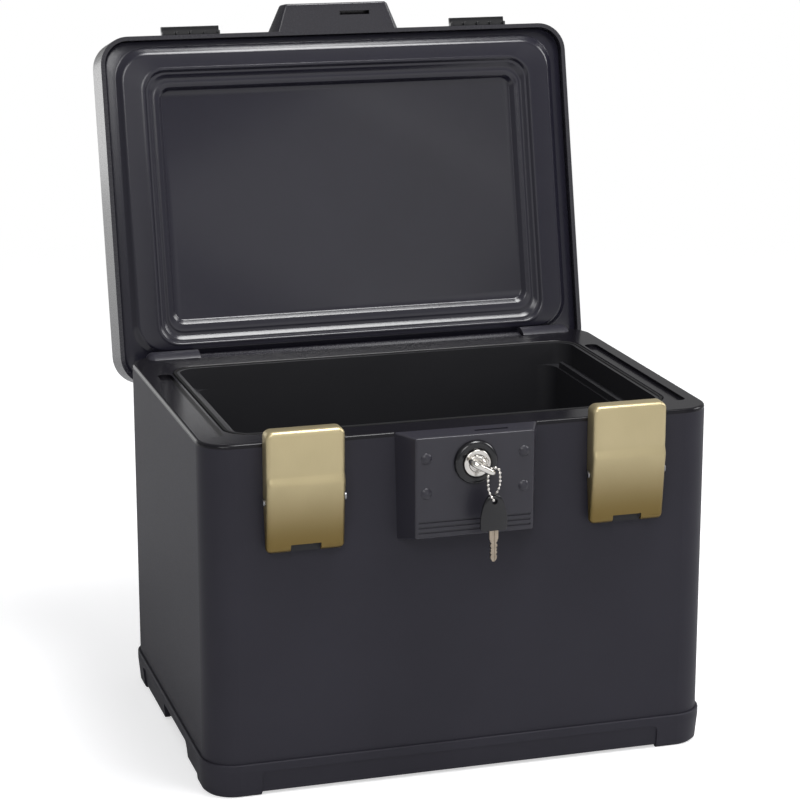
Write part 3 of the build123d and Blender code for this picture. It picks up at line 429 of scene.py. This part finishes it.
for height in housing["grooves"]:
    cutAcross("z", (height - housing["grooveWidth"] / 2, height + housing["grooveWidth"] / 2))
for height in housing["grooves"]:
    pick("FACE", lambda face: face.normal.y < -facing and isOn(middleOf(face).z, height)
         and abs(middleOf(face).x) < housing["grooveHalf"])
    pushOut(y=housing["grooveDepth"])
removeFaces(lambda face: (face.normal.z > facing and isIn(face, housing["slot"]))
            or (face.normal.y > facing and isOn(middleOf(face).y, housing["back"])))
bpy.ops.object.mode_set(mode="OBJECT")
thicken(piece, housing["wall"])
cutAway(piece, startDrum("bore", (0, housing["front"], housing["boreHeight"]), housing["boreRadius"],
                         housing["boreDepth"]))
settle(piece, "chest", ["lock_housing"], smoothNose)
print("lock housing made")


# section of a ring in the plane through the lock's axis: x is the radius and y the depth
def startSection(name, radii, depths, height):
    bpy.ops.object.select_all(action="DESELECT")
    bpy.ops.mesh.primitive_plane_add(size=1, location=(sum(radii) / 2, sum(depths) / 2, height))
    piece = bpy.context.active_object
    piece.name = name
    piece.scale = (radii[1] - radii[0], depths[1] - depths[0], 1)
    bpy.ops.object.transform_apply(location=True, rotation=True, scale=True)
    bpy.ops.object.mode_set(mode="EDIT")
    return piece


def roundCorner(radius, depth, size, steps):
    pick("VERT", lambda vert: isOn(vert.co.x, radius) and isOn(vert.co.y, depth))
    bpy.ops.mesh.bevel(offset=size, segments=steps, affect="VERTICES")


def turnSection(centreHeight, steps):
    bpy.ops.mesh.select_all(action="SELECT")
    bpy.ops.mesh.dissolve_faces()
    bpy.ops.mesh.delete(type="ONLY_FACE")
    bpy.ops.mesh.select_all(action="SELECT")
    bpy.ops.mesh.spin(steps=steps, angle=2 * pi, center=(0, 0, centreHeight), axis=(0, 1, 0))


def putAt(piece, place, turn):
    piece.location = place
    piece.rotation_euler = turn
    bpy.ops.object.transform_apply(location=True, rotation=True, scale=True)


# lock: moulded bezel, chromed cylinder and turning plug
lock = {
    "height": 258.0, "face": -173.3, "back": -157.95, "turnSteps": 56,
    "bezelRadii": (10.6, 17.0), "bezelDepths": (-172.3, -167.7),
    "flangeRadius": 10.4, "flangeBack": -171.3, "barrelRadius": 8.9, "bore": 6.55,
    # size and steps of each rounding
    "bezelCrown": (3.4, 8), "bezelLip": (1.5, 5), "flangeRound": (0.9, 5), "boreRound": (0.5, 4),
    "plugRadius": 6.4, "plugFace": -173.8, "plugSoft": 0.12, "spigotRadius": 4.0, "spigotBack": -155.4,
    # width and rise of each ring on the face of the plug, from its edge inwards
    "plugRings": ((0.5, 0.3), (0.5, 0.0), (0.4, -0.3)),
    "keywayWide": 7.24, "keywayHigh": 2.44, "keywayDepths": (-3, 14), "keyRoll": radians(28)}
piece = startSection("lockBezel", lock["bezelRadii"], lock["bezelDepths"], lock["height"])
roundCorner(lock["bezelRadii"][1], lock["bezelDepths"][0], *lock["bezelCrown"])
roundCorner(lock["bezelRadii"][0], lock["bezelDepths"][0], *lock["bezelLip"])
turnSection(lock["height"], lock["turnSteps"])
settle(piece, "chest", ["lock_bezel"], blackAbs)

piece = startSection("lockCylinder", (lock["bore"], lock["flangeRadius"]), (lock["face"], lock["back"]),
                     lock["height"])
cutAcross("y", (lock["flangeBack"],))
cutAcross("x", (lock["barrelRadius"],))
removeFaces(lambda face: middleOf(face).x > lock["barrelRadius"] and middleOf(face).y > lock["flangeBack"])
roundCorner(lock["flangeRadius"], lock["face"], *lock["flangeRound"])
roundCorner(lock["bore"], lock["face"], *lock["boreRound"])
turnSection(lock["height"], lock["turnSteps"])
settle(piece, "chest", ["lock_body"], polishedChrome)

middle = (lock["plugFace"] + lock["back"]) / 2
piece = startDrum("lockPlug", (0, middle, lock["height"]), lock["plugRadius"], lock["back"] - lock["plugFace"],
                  corners=lock["turnSteps"])
bpy.ops.object.mode_set(mode="EDIT")
pick("FACE", lambda face: face.normal.y < -facing)
for width, rise in lock["plugRings"]:
    bpy.ops.mesh.inset(thickness=width, depth=rise)
pick("FACE", lambda face: face.normal.y > facing)
bpy.ops.mesh.inset(thickness=lock["plugRadius"] - lock["spigotRadius"])
pushOut(y=lock["spigotBack"] - lock["back"])
bpy.ops.object.mode_set(mode="OBJECT")
keyway = startBlock("keyway", (-lock["keywayWide"] / 2, lock["keywayWide"] / 2), lock["keywayDepths"],
                    (-lock["keywayHigh"] / 2, lock["keywayHigh"] / 2))
bpy.ops.object.mode_set(mode="OBJECT")
putAt(keyway, (0, lock["face"], lock["height"]), (0, lock["keyRoll"], 0))
cutAway(piece, keyway)
softenEdges(piece, lock["plugSoft"])
settle(piece, "lock_core", ["lock_plug"], polishedChrome)

# key in the lock: stamped steel, chromed, its edges rolled over by the polishing
keyShape = {
    "bowHalf": 11.0, "bowNear": -2.5, "bowFar": -18.0, "bowThick": 4.4, "bowCorner": 6.5, "cornerSteps": 9,
    "bowEdge": 2.0, "edgeSteps": 6, "hole": (5.0, -12.2), "holeRadius": 3.6, "holeDepth": 8, "holeCorners": 36,
    # how much of the rolled edge is made flat where the neck grows out of it
    "flatReach": 0.4, "thick": 2.2, "neckHalf": 4.5, "neckEnd": -0.5, "bladeHalf": 3.5, "bladeEnd": 13.0}
piece = startBlock("lockKey", (-keyShape["bowHalf"], keyShape["bowHalf"]), (keyShape["bowFar"], keyShape["bowNear"]),
                   (-keyShape["bowThick"] / 2, keyShape["bowThick"] / 2))
roundEdges(keyShape["bowCorner"], keyShape["cornerSteps"], lambda edge: runsAlong(edge, "z"))
roundEdges(keyShape["bowEdge"], keyShape["edgeSteps"], lambda edge: isSharp(edge, 60))
cutAcross("z", (-keyShape["thick"] / 2, keyShape["thick"] / 2))
cutAcross("y", (keyShape["bowNear"] - keyShape["bowEdge"],))
pick("VERT", lambda vert: vert.co.y > keyShape["bowNear"] - keyShape["flatReach"]
     and abs(vert.co.z) < keyShape["thick"] / 2 + slack)
bpy.ops.transform.resize(value=(1, 0, 1), center_override=(0, keyShape["bowNear"], 0))
for half, start, end in ((keyShape["neckHalf"], keyShape["bowNear"], keyShape["neckEnd"]),
                         (keyShape["bladeHalf"], keyShape["neckEnd"], keyShape["bladeEnd"])):
    cutAcross("x", (-half, half))
    pick("FACE", lambda face: face.normal.y > facing and isOn(middleOf(face).y, start)
         and abs(middleOf(face).x) < half and abs(middleOf(face).z) < keyShape["thick"] / 2)
    pushOut(y=end - start)
bpy.ops.object.mode_set(mode="OBJECT")
cutAway(piece, startDrum("holeCutter", (*keyShape["hole"], 0), keyShape["holeRadius"], keyShape["holeDepth"],
                         turn=(0, 0, 0), corners=keyShape["holeCorners"]))
putAt(piece, (0, lock["face"], lock["height"]), (0, lock["keyRoll"], 0))
settle(piece, "lock_core", ["lock_key"], polishedChrome)
print("lock made")

# bead chain: hollow beads on short wire links, a closed loop twisted a quarter turn between the two keys
chain = {
    "hang": (8.653, -185.5, 256.4), "beadRadius": 1.22, "beadSegments": 14, "beadRings": 9, "pitch": 3.25,
    # how flat the faces at each pole lie, how far the wire reaches past its half of the gap, and how it narrows
    "poleFacing": 0.9, "wireOverlap": 0.12, "wireNarrowing": (0.9, 0.9, 0.1),
    # right half of the loop as x, y, z from the top of the bar that it hangs on; the left half mirrors it
    "route": ((4.1, 0.0, 0.85), (5.4, 1.2, -8.4), (5.3, 3.2, -16.4), (1.4, 5.4, -23.8)),
    "routeOrder": 3, "routeSteps": 24}
hangX, hangY, hangZ = chain["hang"]
spline = bpy.data.curves.new("chainRoute", "CURVE")
spline.dimensions = "3D"
route = spline.splines.new("NURBS")
places = [(hangX + x, hangY + y, hangZ + z) for x, y, z in chain["route"]]
places += [(hangX - x, hangY - y, hangZ + z) for x, y, z in reversed(chain["route"])]
route.points.add(len(places) - 1)
for point, place in zip(route.points, places):
    point.co = (*place, 1)
route.use_cyclic_u = True
route.order_u = chain["routeOrder"]
route.resolution_u = chain["routeSteps"]
routeHolder = bpy.data.objects.new("chainRoute", spline)
line = bpy.data.meshes.new_from_object(routeHolder)
stops = [vert.co.copy() for vert in line.vertices]
stops.append(stops[0])
runs = [(after - before).length for before, after in zip(stops, stops[1:])]
beadCount = round(sum(runs) / chain["pitch"])
gap = sum(runs) / beadCount

bpy.ops.object.select_all(action="DESELECT")
bpy.ops.mesh.primitive_uv_sphere_add(segments=chain["beadSegments"], ring_count=chain["beadRings"],
                                     radius=chain["beadRadius"])
bead = bpy.context.active_object
bpy.ops.object.mode_set(mode="EDIT")
for sign in (-1, 1):
    pick("FACE", lambda face: sign * face.normal.z > chain["poleFacing"])
    pushOut(z=sign * (gap / 2 - chain["beadRadius"] + chain["wireOverlap"]))
    pick("VERT", lambda vert: sign * vert.co.z > chain["beadRadius"] + slack)
    bpy.ops.transform.resize(value=chain["wireNarrowing"], center_override=(0, 0, sign * gap / 2))
bpy.ops.object.mode_set(mode="OBJECT")
beads = []
for count in range(beadCount):
    reach, index = count * gap, 0
    while reach > runs[index]:
        reach -= runs[index]
        index += 1
    copy = bead.copy()
    copy.data = bead.data.copy()
    bpy.context.collection.objects.link(copy)
    copy.location = stops[index].lerp(stops[index + 1], reach / runs[index])
    copy.rotation_euler = (stops[index + 1] - stops[index]).to_track_quat("Z", "Y").to_euler()
    beads.append(copy)
bpy.data.objects.remove(bead, do_unlink=True)
bpy.data.objects.remove(routeHolder, do_unlink=True)
holdOnly(beads[0])
for copy in beads:
    copy.select_set(True)
bpy.ops.object.join()
piece = bpy.context.active_object
piece.name = "beadChain"
bpy.ops.object.transform_apply(location=True, rotation=True, scale=True)
settle(piece, "spare_key", ["key_chain"], polishedChrome, smoothAngle=50)

# spare key: a moulded bow over a milled blade
spare = {
    "x": 8.653, "y": -185.5, "top": 236.02, "thick": 2.4, "edge": 0.9,
    "hole": 231.82, "holeRadius": 2.3, "holeDepth": 9, "holeCorners": 28, "holeSoft": 0.25,
    # how far each face bulges in the middle, and the shares of the half width at which it steps down
    "crown": 1.3, "columns": (0.0, 0.3, 0.55, 0.75, 0.9),
    # millimetres below the top and half the width there
    "bowRows": ((0.0, 3.4), (1.2, 5.1), (3.2, 6.6), (6.5, 8.0), (10.5, 9.2), (15.0, 10.1), (20.0, 10.6), (25.4, 10.5),
                (27.0, 9.7)),
    "bladeThick": 2.2, "bladeRoot": 8.9, "bladeSoft": 0.18,
    # millimetres below the bow and half the width there: shoulder, then the cuts on both edges
    "bladeRows": ((0.0, 3.5), (6.8, 3.5), (7.6, 2.9), (8.8, 2.9), (10.0, 1.7), (11.2, 2.8), (12.6, 2.8), (13.6, 1.6),
                  (14.8, 2.7), (16.0, 1.8), (17.4, 2.9), (18.8, 1.7), (20.2, 2.7), (22.4, 2.3), (24.5, 0.9)),
    "millHalf": 0.55, "millDepth": 0.5, "millFrom": 2.0}


# block whose half width follows the rows downwards from a height
def makeTapered(name, rows, top, thick, columns=(), crown=0):
    widest = max(half for drop, half in rows)
    piece = startBlock(name, (spare["x"] - widest, spare["x"] + widest),
                       (spare["y"] - thick / 2, spare["y"] + thick / 2), (top - rows[-1][0], top))
    cutAcross("z", [top - drop for drop, half in rows[1:-1]])
    cutAcross("x", sorted({spare["x"] + sign * share * widest for share in columns for sign in (-1, 1)}))
    for share in columns:
        for sign in (-1, 1):
            pick("VERT", lambda vert: isOn(abs(vert.co.x - spare["x"]), share * widest)
                 and isOn(vert.co.y, spare["y"] + sign * thick / 2))
            shift(y=sign * crown * (1 - share ** 2))
    for drop, half in rows:
        pick("VERT", lambda vert: isOn(vert.co.z, top - drop))
        bpy.ops.transform.resize(value=(half / widest, 1, 1), center_override=(spare["x"], spare["y"], top - drop))
    return piece


piece = makeTapered("spareKeyBow", spare["bowRows"], spare["top"], spare["thick"], spare["columns"], spare["crown"])
bpy.ops.object.mode_set(mode="OBJECT")
softenEdges(piece, spare["edge"], steps=4)
cutAway(piece, startDrum("holeCutter", (spare["x"], spare["y"], spare["hole"]), spare["holeRadius"],
                         spare["holeDepth"], corners=spare["holeCorners"]))
softenEdges(piece, spare["holeSoft"], angle=60)
settle(piece, "spare_key", ["spare_key_bow"], blackAbs)

bladeTop = spare["top"] - spare["bowRows"][-1][0]
piece = makeTapered("spareKeyBlade", spare["bladeRows"], bladeTop, spare["bladeThick"])
pick("FACE", lambda face: face.normal.z > facing)
pushOut(z=spare["bladeRoot"])
cutAcross("x", (spare["x"] - spare["millHalf"], spare["x"] + spare["millHalf"]))
for sign in (-1, 1):
    pick("FACE", lambda face: face.normal.y * sign > facing and abs(middleOf(face).x - spare["x"]) < spare["millHalf"]
         and middleOf(face).z < bladeTop - spare["millFrom"])
    pushOut(y=-sign * spare["millDepth"])
bpy.ops.object.mode_set(mode="OBJECT")
softenEdges(piece, spare["bladeSoft"], angle=40)
settle(piece, "spare_key", ["spare_key_blade"], nickelBrass)
print("chain and spare key made")

# the lid's pieces are drawn on the closed chest and swung open round the hinge
hinge = {"y": 140.0, "z": 267.0, "open": radians(102.5)}


def swingOpen(piece):
    holdOnly(piece)
    bpy.ops.object.mode_set(mode="EDIT")
    bpy.ops.mesh.select_all(action="SELECT")
    bpy.ops.transform.rotate(value=hinge["open"], orient_axis="X", orient_type="GLOBAL",
                             center_override=(0, hinge["y"], hinge["z"]))
    bpy.ops.object.mode_set(mode="OBJECT")


# lid lining: loops one inside the other, joined from the border in to the flat field
lining = {
    "plane": 279.4, "wall": 1.6, "cornerSteps": 7,
    # the loops start this far apart, so that each pair can be told from the rest while they are joined
    "spacing": 10.0,
    # half width, front, back, corner and depth into the lid, from the border to the flat field
    "loops": (
        (203.2, -138.2, 147.2, 20.2, 6.3), (202.0, -137.0, 146.0, 19.0, 5.5), (195.2, -133.6, 128.2, 27.0, 5.5),
        (193.8, -132.5, 127.2, 26.0, 5.0), (191.0, -128.2, 124.4, 24.0, 1.9), (189.9, -126.6, 123.4, 23.0, 0.9),
        (188.2, -125.0, 122.4, 22.0, 0.55), (174.6, -115.6, 120.6, 19.0, 0.62), (173.6, -114.8, 120.0, 18.6, 0.3),
        (172.8, -114.0, 119.4, 18.2, 0.06), (171.8, -113.2, 118.6, 17.8, 0.12), (171.0, -112.4, 118.0, 17.4, 0.7),
        (169.8, -111.2, 116.6, 17.0, 2.2), (168.6, -110.0, 115.6, 16.6, 2.0), (167.6, -109.0, 114.8, 16.2, 2.5),
        (165.6, -106.4, 112.0, 15.0, 4.6), (164.4, -104.9, 110.4, 14.0, 4.9), (163.2, -103.0, 108.6, 13.0, 4.3),
        (162.2, -101.6, 107.0, 12.4, 4.2), (161.2, -100.2, 105.2, 11.6, 4.9), (159.6, -99.0, 102.8, 10.6, 5.1),
        (158.6, -98.2, 101.8, 10.0, 5.5), (156.4, -96.6, 99.0, 8.4, 8.9), (155.4, -95.9, 98.0, 7.6, 9.5))}
bpy.ops.object.select_all(action="DESELECT")
bpy.ops.mesh.primitive_plane_add(size=1)
piece = bpy.context.active_object
piece.name = "lidLining"
bpy.ops.object.mode_set(mode="EDIT")
bpy.ops.mesh.select_all(action="SELECT")
bpy.ops.mesh.delete(type="VERT")
for count, (half, front, back, corner, depth) in enumerate(lining["loops"]):
    addRing(half, front, back, corner, -lining["spacing"] * count, lining["cornerSteps"])
for count in range(1, len(lining["loops"])):
    pick("VERT", lambda vert: isOn(vert.co.z, -lining["spacing"] * count)
         or isOn(vert.co.z, -lining["spacing"] * (count - 1)))
    bpy.ops.mesh.bridge_edge_loops()
for count, (half, front, back, corner, depth) in enumerate(lining["loops"]):
    pick("VERT", lambda vert: isOn(vert.co.z, -lining["spacing"] * count))
    if count == len(lining["loops"]) - 1:
        bpy.ops.mesh.edge_face_add()
    shift(z=lining["plane"] + depth + lining["spacing"] * count)
bpy.ops.mesh.select_all(action="SELECT")
bpy.ops.mesh.normals_make_consistent(inside=False)
bpy.ops.object.mode_set(mode="OBJECT")
useModifier(piece, "SOLIDIFY", thickness=lining["wall"], offset=-1 if piece.data.polygons[0].normal.z < 0 else 1)
swingOpen(piece)
settle(piece, "lid", ["lid_liner"], smoothLining, smoothAngle=50)
print("lid lining made")

# crowns of the two knuckles on the chest, which stand proud of the rim under the border of the lid
crown = {
    "near": 143.6, "far": 188.0, "radius": 16.2, "corners": 96, "endRound": 6.0, "endSteps": 6,
    # only what lies above this height and in front of this depth is kept
    "from": 278.7, "back": 146.2}
for side, sign in (("Left", -1), ("Right", 1)):
    piece = startDrum("hingeCrown" + side, (sign * (crown["near"] + crown["far"]) / 2, hinge["y"], hinge["z"]),
                      crown["radius"], crown["far"] - crown["near"], turn=(0, pi / 2, 0),
                      corners=crown["corners"])
    bpy.ops.object.mode_set(mode="EDIT")
    roundEdges(crown["endRound"], crown["endSteps"],
               lambda edge: all(isOn(vert.co.x, sign * crown["far"]) for vert in edge.verts))
    bpy.ops.mesh.select_all(action="SELECT")
    bpy.ops.mesh.bisect(plane_co=(0, 0, crown["from"]), plane_no=(0, 0, 1), clear_inner=True, use_fill=True)
    bpy.ops.mesh.select_all(action="SELECT")
    bpy.ops.mesh.bisect(plane_co=(0, crown["back"], 0), plane_no=(0, 1, 0), clear_outer=True, use_fill=True)
    settle(piece, "chest", [], smoothNose, smoothAngle=40)
print("knuckle crowns made")

# hasp: hollow moulded nose on the lid's front, flaring upwards, with the hook's slot in its floor
hasp = {
    "rootY": -142.0, "tipY": -165.4, "floor": 279.4, "rootTop": 294.4, "tipTop": 288.4, "rootHalf": 52.5,
    "tipHalf": 44.3, "rootTopHalf": 59.0, "tipTopHalf": 48.2, "edge": 1.6, "edgeSteps": 4, "wall": 2.2,
    "slot": ((3.0, 29.5), (-158.05, -154.65))}
piece = startBlock("lidHasp", (-hasp["rootHalf"], hasp["rootHalf"]), (hasp["tipY"], hasp["rootY"]),
                   (hasp["floor"], hasp["rootTop"]))
for sign in (-1, 1):
    for depth, height, half in (("tipY", "floor", "tipHalf"), ("rootY", "rootTop", "rootTopHalf"),
                                ("tipY", "rootTop", "tipTopHalf")):
        pick("VERT", lambda vert: vert.co.x * sign > 0 and isOn(vert.co.y, hasp[depth])
             and isOn(vert.co.z, hasp[height]))
        shift(x=sign * (hasp[half] - hasp["rootHalf"]))
pick("VERT", lambda vert: isOn(vert.co.y, hasp["tipY"]) and isOn(vert.co.z, hasp["rootTop"]))
shift(z=hasp["tipTop"] - hasp["rootTop"])
roundEdges(hasp["edge"], hasp["edgeSteps"],
           lambda edge: not all(isOn(vert.co.y, hasp["rootY"]) for vert in edge.verts))
cutAcross("x", hasp["slot"][0])
cutAcross("y", hasp["slot"][1])
removeFaces(lambda face: (face.normal.z < -facing and isIn(face, hasp["slot"]))
            or (face.normal.y > facing and isOn(middleOf(face).y, hasp["rootY"])))
bpy.ops.object.mode_set(mode="OBJECT")
thicken(piece, hasp["wall"])
swingOpen(piece)
settle(piece, "lid", ["lid_hasp"], smoothCase)

# catches: ribbed ledges that the latches hook over
catch = {"half": 25.0, "front": -149.6, "back": -142.0, "top": 286.9, "web": 2.4, "foot": 280.0, "ribs": 5,
         "ribWidth": 2.2, "lip": 4.4, "soft": 0.4, "middle": 128.0}
for side, sign in (("Left", -1), ("Right", 1)):
    middleX = sign * catch["middle"]
    piece = startBlock("latchCatch" + side, (middleX - catch["half"], middleX + catch["half"]),
                       (catch["front"], catch["back"]), (catch["top"] - catch["web"], catch["top"]))
    step = (2 * catch["half"] - catch["ribWidth"]) / (catch["ribs"] - 1)
    starts = [middleX - catch["half"] + step * count for count in range(catch["ribs"])]
    cutAcross("x", [start + add for start in starts for add in (0, catch["ribWidth"])][1:-1])
    cutAcross("y", (catch["front"] + catch["lip"],))
    pick("FACE", lambda face: face.normal.z < -facing and middleOf(face).y > catch["front"] + catch["lip"]
         and any(start < middleOf(face).x < start + catch["ribWidth"] for start in starts))
    pushOut(z=catch["foot"] - catch["top"] + catch["web"])
    bpy.ops.object.mode_set(mode="OBJECT")
    softenEdges(piece, catch["soft"])
    swingOpen(piece)
    settle(piece, "lid", ["latch_catch_" + side.lower()], blackAbs)
print("hasp and catches made")

# floor, lights and camera
studio = {
    "floorColour": "#D2D2D4", "backColour": "#FFFFFF", "worldLight": 0.35, "floorGlow": 0.55, "floorSize": 12,
    "floorPlace": (0, 1.5, 0), "floorRoughness": 0.9, "aim": (0, 0, 0.25),
    "fadeFrom": 0.75, "fadeTo": 2.2,      # metres from the chest where the floor turns to plain white
    # place, size and power of each lamp, which all look at the aim
    "lamps": {
        "keyLight": ((-1.1, -2.05, 1.9), 1.2, 23), "overheadLight": ((0.4, -0.4, 2.2), 0.8, 36),
        "frontLight": ((0.6, -2.5, 1.0), 2.0, 8), "leftBackLight": ((-0.85, 1.9, 0.5), 0.8, 2.8),
        "rightLight": ((2.2, -0.2, 1.5), 1.0, 22)}}

bpy.ops.object.select_all(action="DESELECT")
bpy.ops.mesh.primitive_plane_add(size=studio["floorSize"], location=studio["floorPlace"])
floor = bpy.context.active_object
floor.name = "studioFloor"
bpy.ops.object.transform_apply(location=True, rotation=True, scale=True)
paper, tree = newMaterial("seamlessPaper")
path = addNode(tree, "ShaderNodeLightPath")
seen = addNode(tree, "ShaderNodeMath", {"operation": "MAXIMUM"}, {
    0: path.outputs["Is Camera Ray"], 1: path.outputs["Is Glossy Ray"]})
# white sweep: lit paper near the chest, which keeps its shadow, and plain white further out
reach = addNode(tree, "ShaderNodeVectorMath", {"operation": "LENGTH"}, {
    0: addNode(tree, "ShaderNodeTexCoord").outputs["Object"]})
fade = addNode(tree, "ShaderNodeMapRange", {"interpolation_type": "SMOOTHSTEP"}, {
    "Value": reach.outputs["Value"], "From Min": studio["fadeFrom"], "From Max": studio["fadeTo"]})
fadeSeen = addNode(tree, "ShaderNodeMath", {"operation": "MULTIPLY"}, {
    0: fade.outputs["Result"], 1: seen.outputs[0]})
glow = addNode(tree, "ShaderNodeMath", {"operation": "MULTIPLY"}, {
    0: path.outputs["Is Camera Ray"], 1: studio["floorGlow"]})
lit = addNode(tree, "ShaderNodeBsdfPrincipled", inputs={
    "Base Color": toLinear(studio["floorColour"]), "Roughness": studio["floorRoughness"],
    "Emission Color": toLinear(studio["backColour"]), "Emission Strength": glow.outputs[0]})
plain = addNode(tree, "ShaderNodeEmission", inputs={"Color": toLinear(studio["backColour"]), "Strength": 1.0})
sweep = addNode(tree, "ShaderNodeMixShader", inputs={0: fadeSeen.outputs[0], 1: lit.outputs[0], 2: plain.outputs[0]})
addNode(tree, "ShaderNodeOutputMaterial", inputs={"Surface": sweep.outputs[0]})
floor.data.materials.append(paper)

world = bpy.data.worlds.new("studioWorld")
bpy.context.scene.world = world
world.use_nodes = True
tree = world.node_tree
tree.nodes.clear()
path = addNode(tree, "ShaderNodeLightPath")
strength = addNode(tree, "ShaderNodeMapRange", inputs={
    "Value": path.outputs["Is Camera Ray"], "To Min": studio["worldLight"], "To Max": 1.0})
sky = addNode(tree, "ShaderNodeBackground", inputs={
    "Color": toLinear(studio["backColour"]), "Strength": strength.outputs["Result"]})
addNode(tree, "ShaderNodeOutputWorld", inputs={"Surface": sky.outputs[0]})

for name, (place, size, power) in studio["lamps"].items():
    turn = (Vector(studio["aim"]) - Vector(place)).to_track_quat("-Z", "Y").to_euler()
    bpy.ops.object.light_add(type="AREA", location=place, rotation=turn)
    lamp = bpy.context.active_object
    lamp.name = name
    lamp.data.size = size
    lamp.data.energy = power
    lamp.visible_camera = False

# camera fitted to the straight edges in the photograph; its focal length is in pixels of an image this wide
cameraView = {"place": (-0.57282, -1.86618, 0.77372), "yaw": 0.2938, "pitch": 0.2556, "focalPixels": 2493.2,
              "imageWidth": 800, "sensorWidth": 36}
bpy.ops.object.camera_add(location=cameraView["place"],
                          rotation=(pi / 2 - cameraView["pitch"], 0, -cameraView["yaw"]))
camera = bpy.context.active_object
camera.name = "photoCamera"
camera.data.sensor_width = cameraView["sensorWidth"]
camera.data.lens = cameraView["focalPixels"] * cameraView["sensorWidth"] / cameraView["imageWidth"]
bpy.context.scene.camera = camera
bpy.context.scene.view_settings.view_transform = "Standard"
print("studio set")
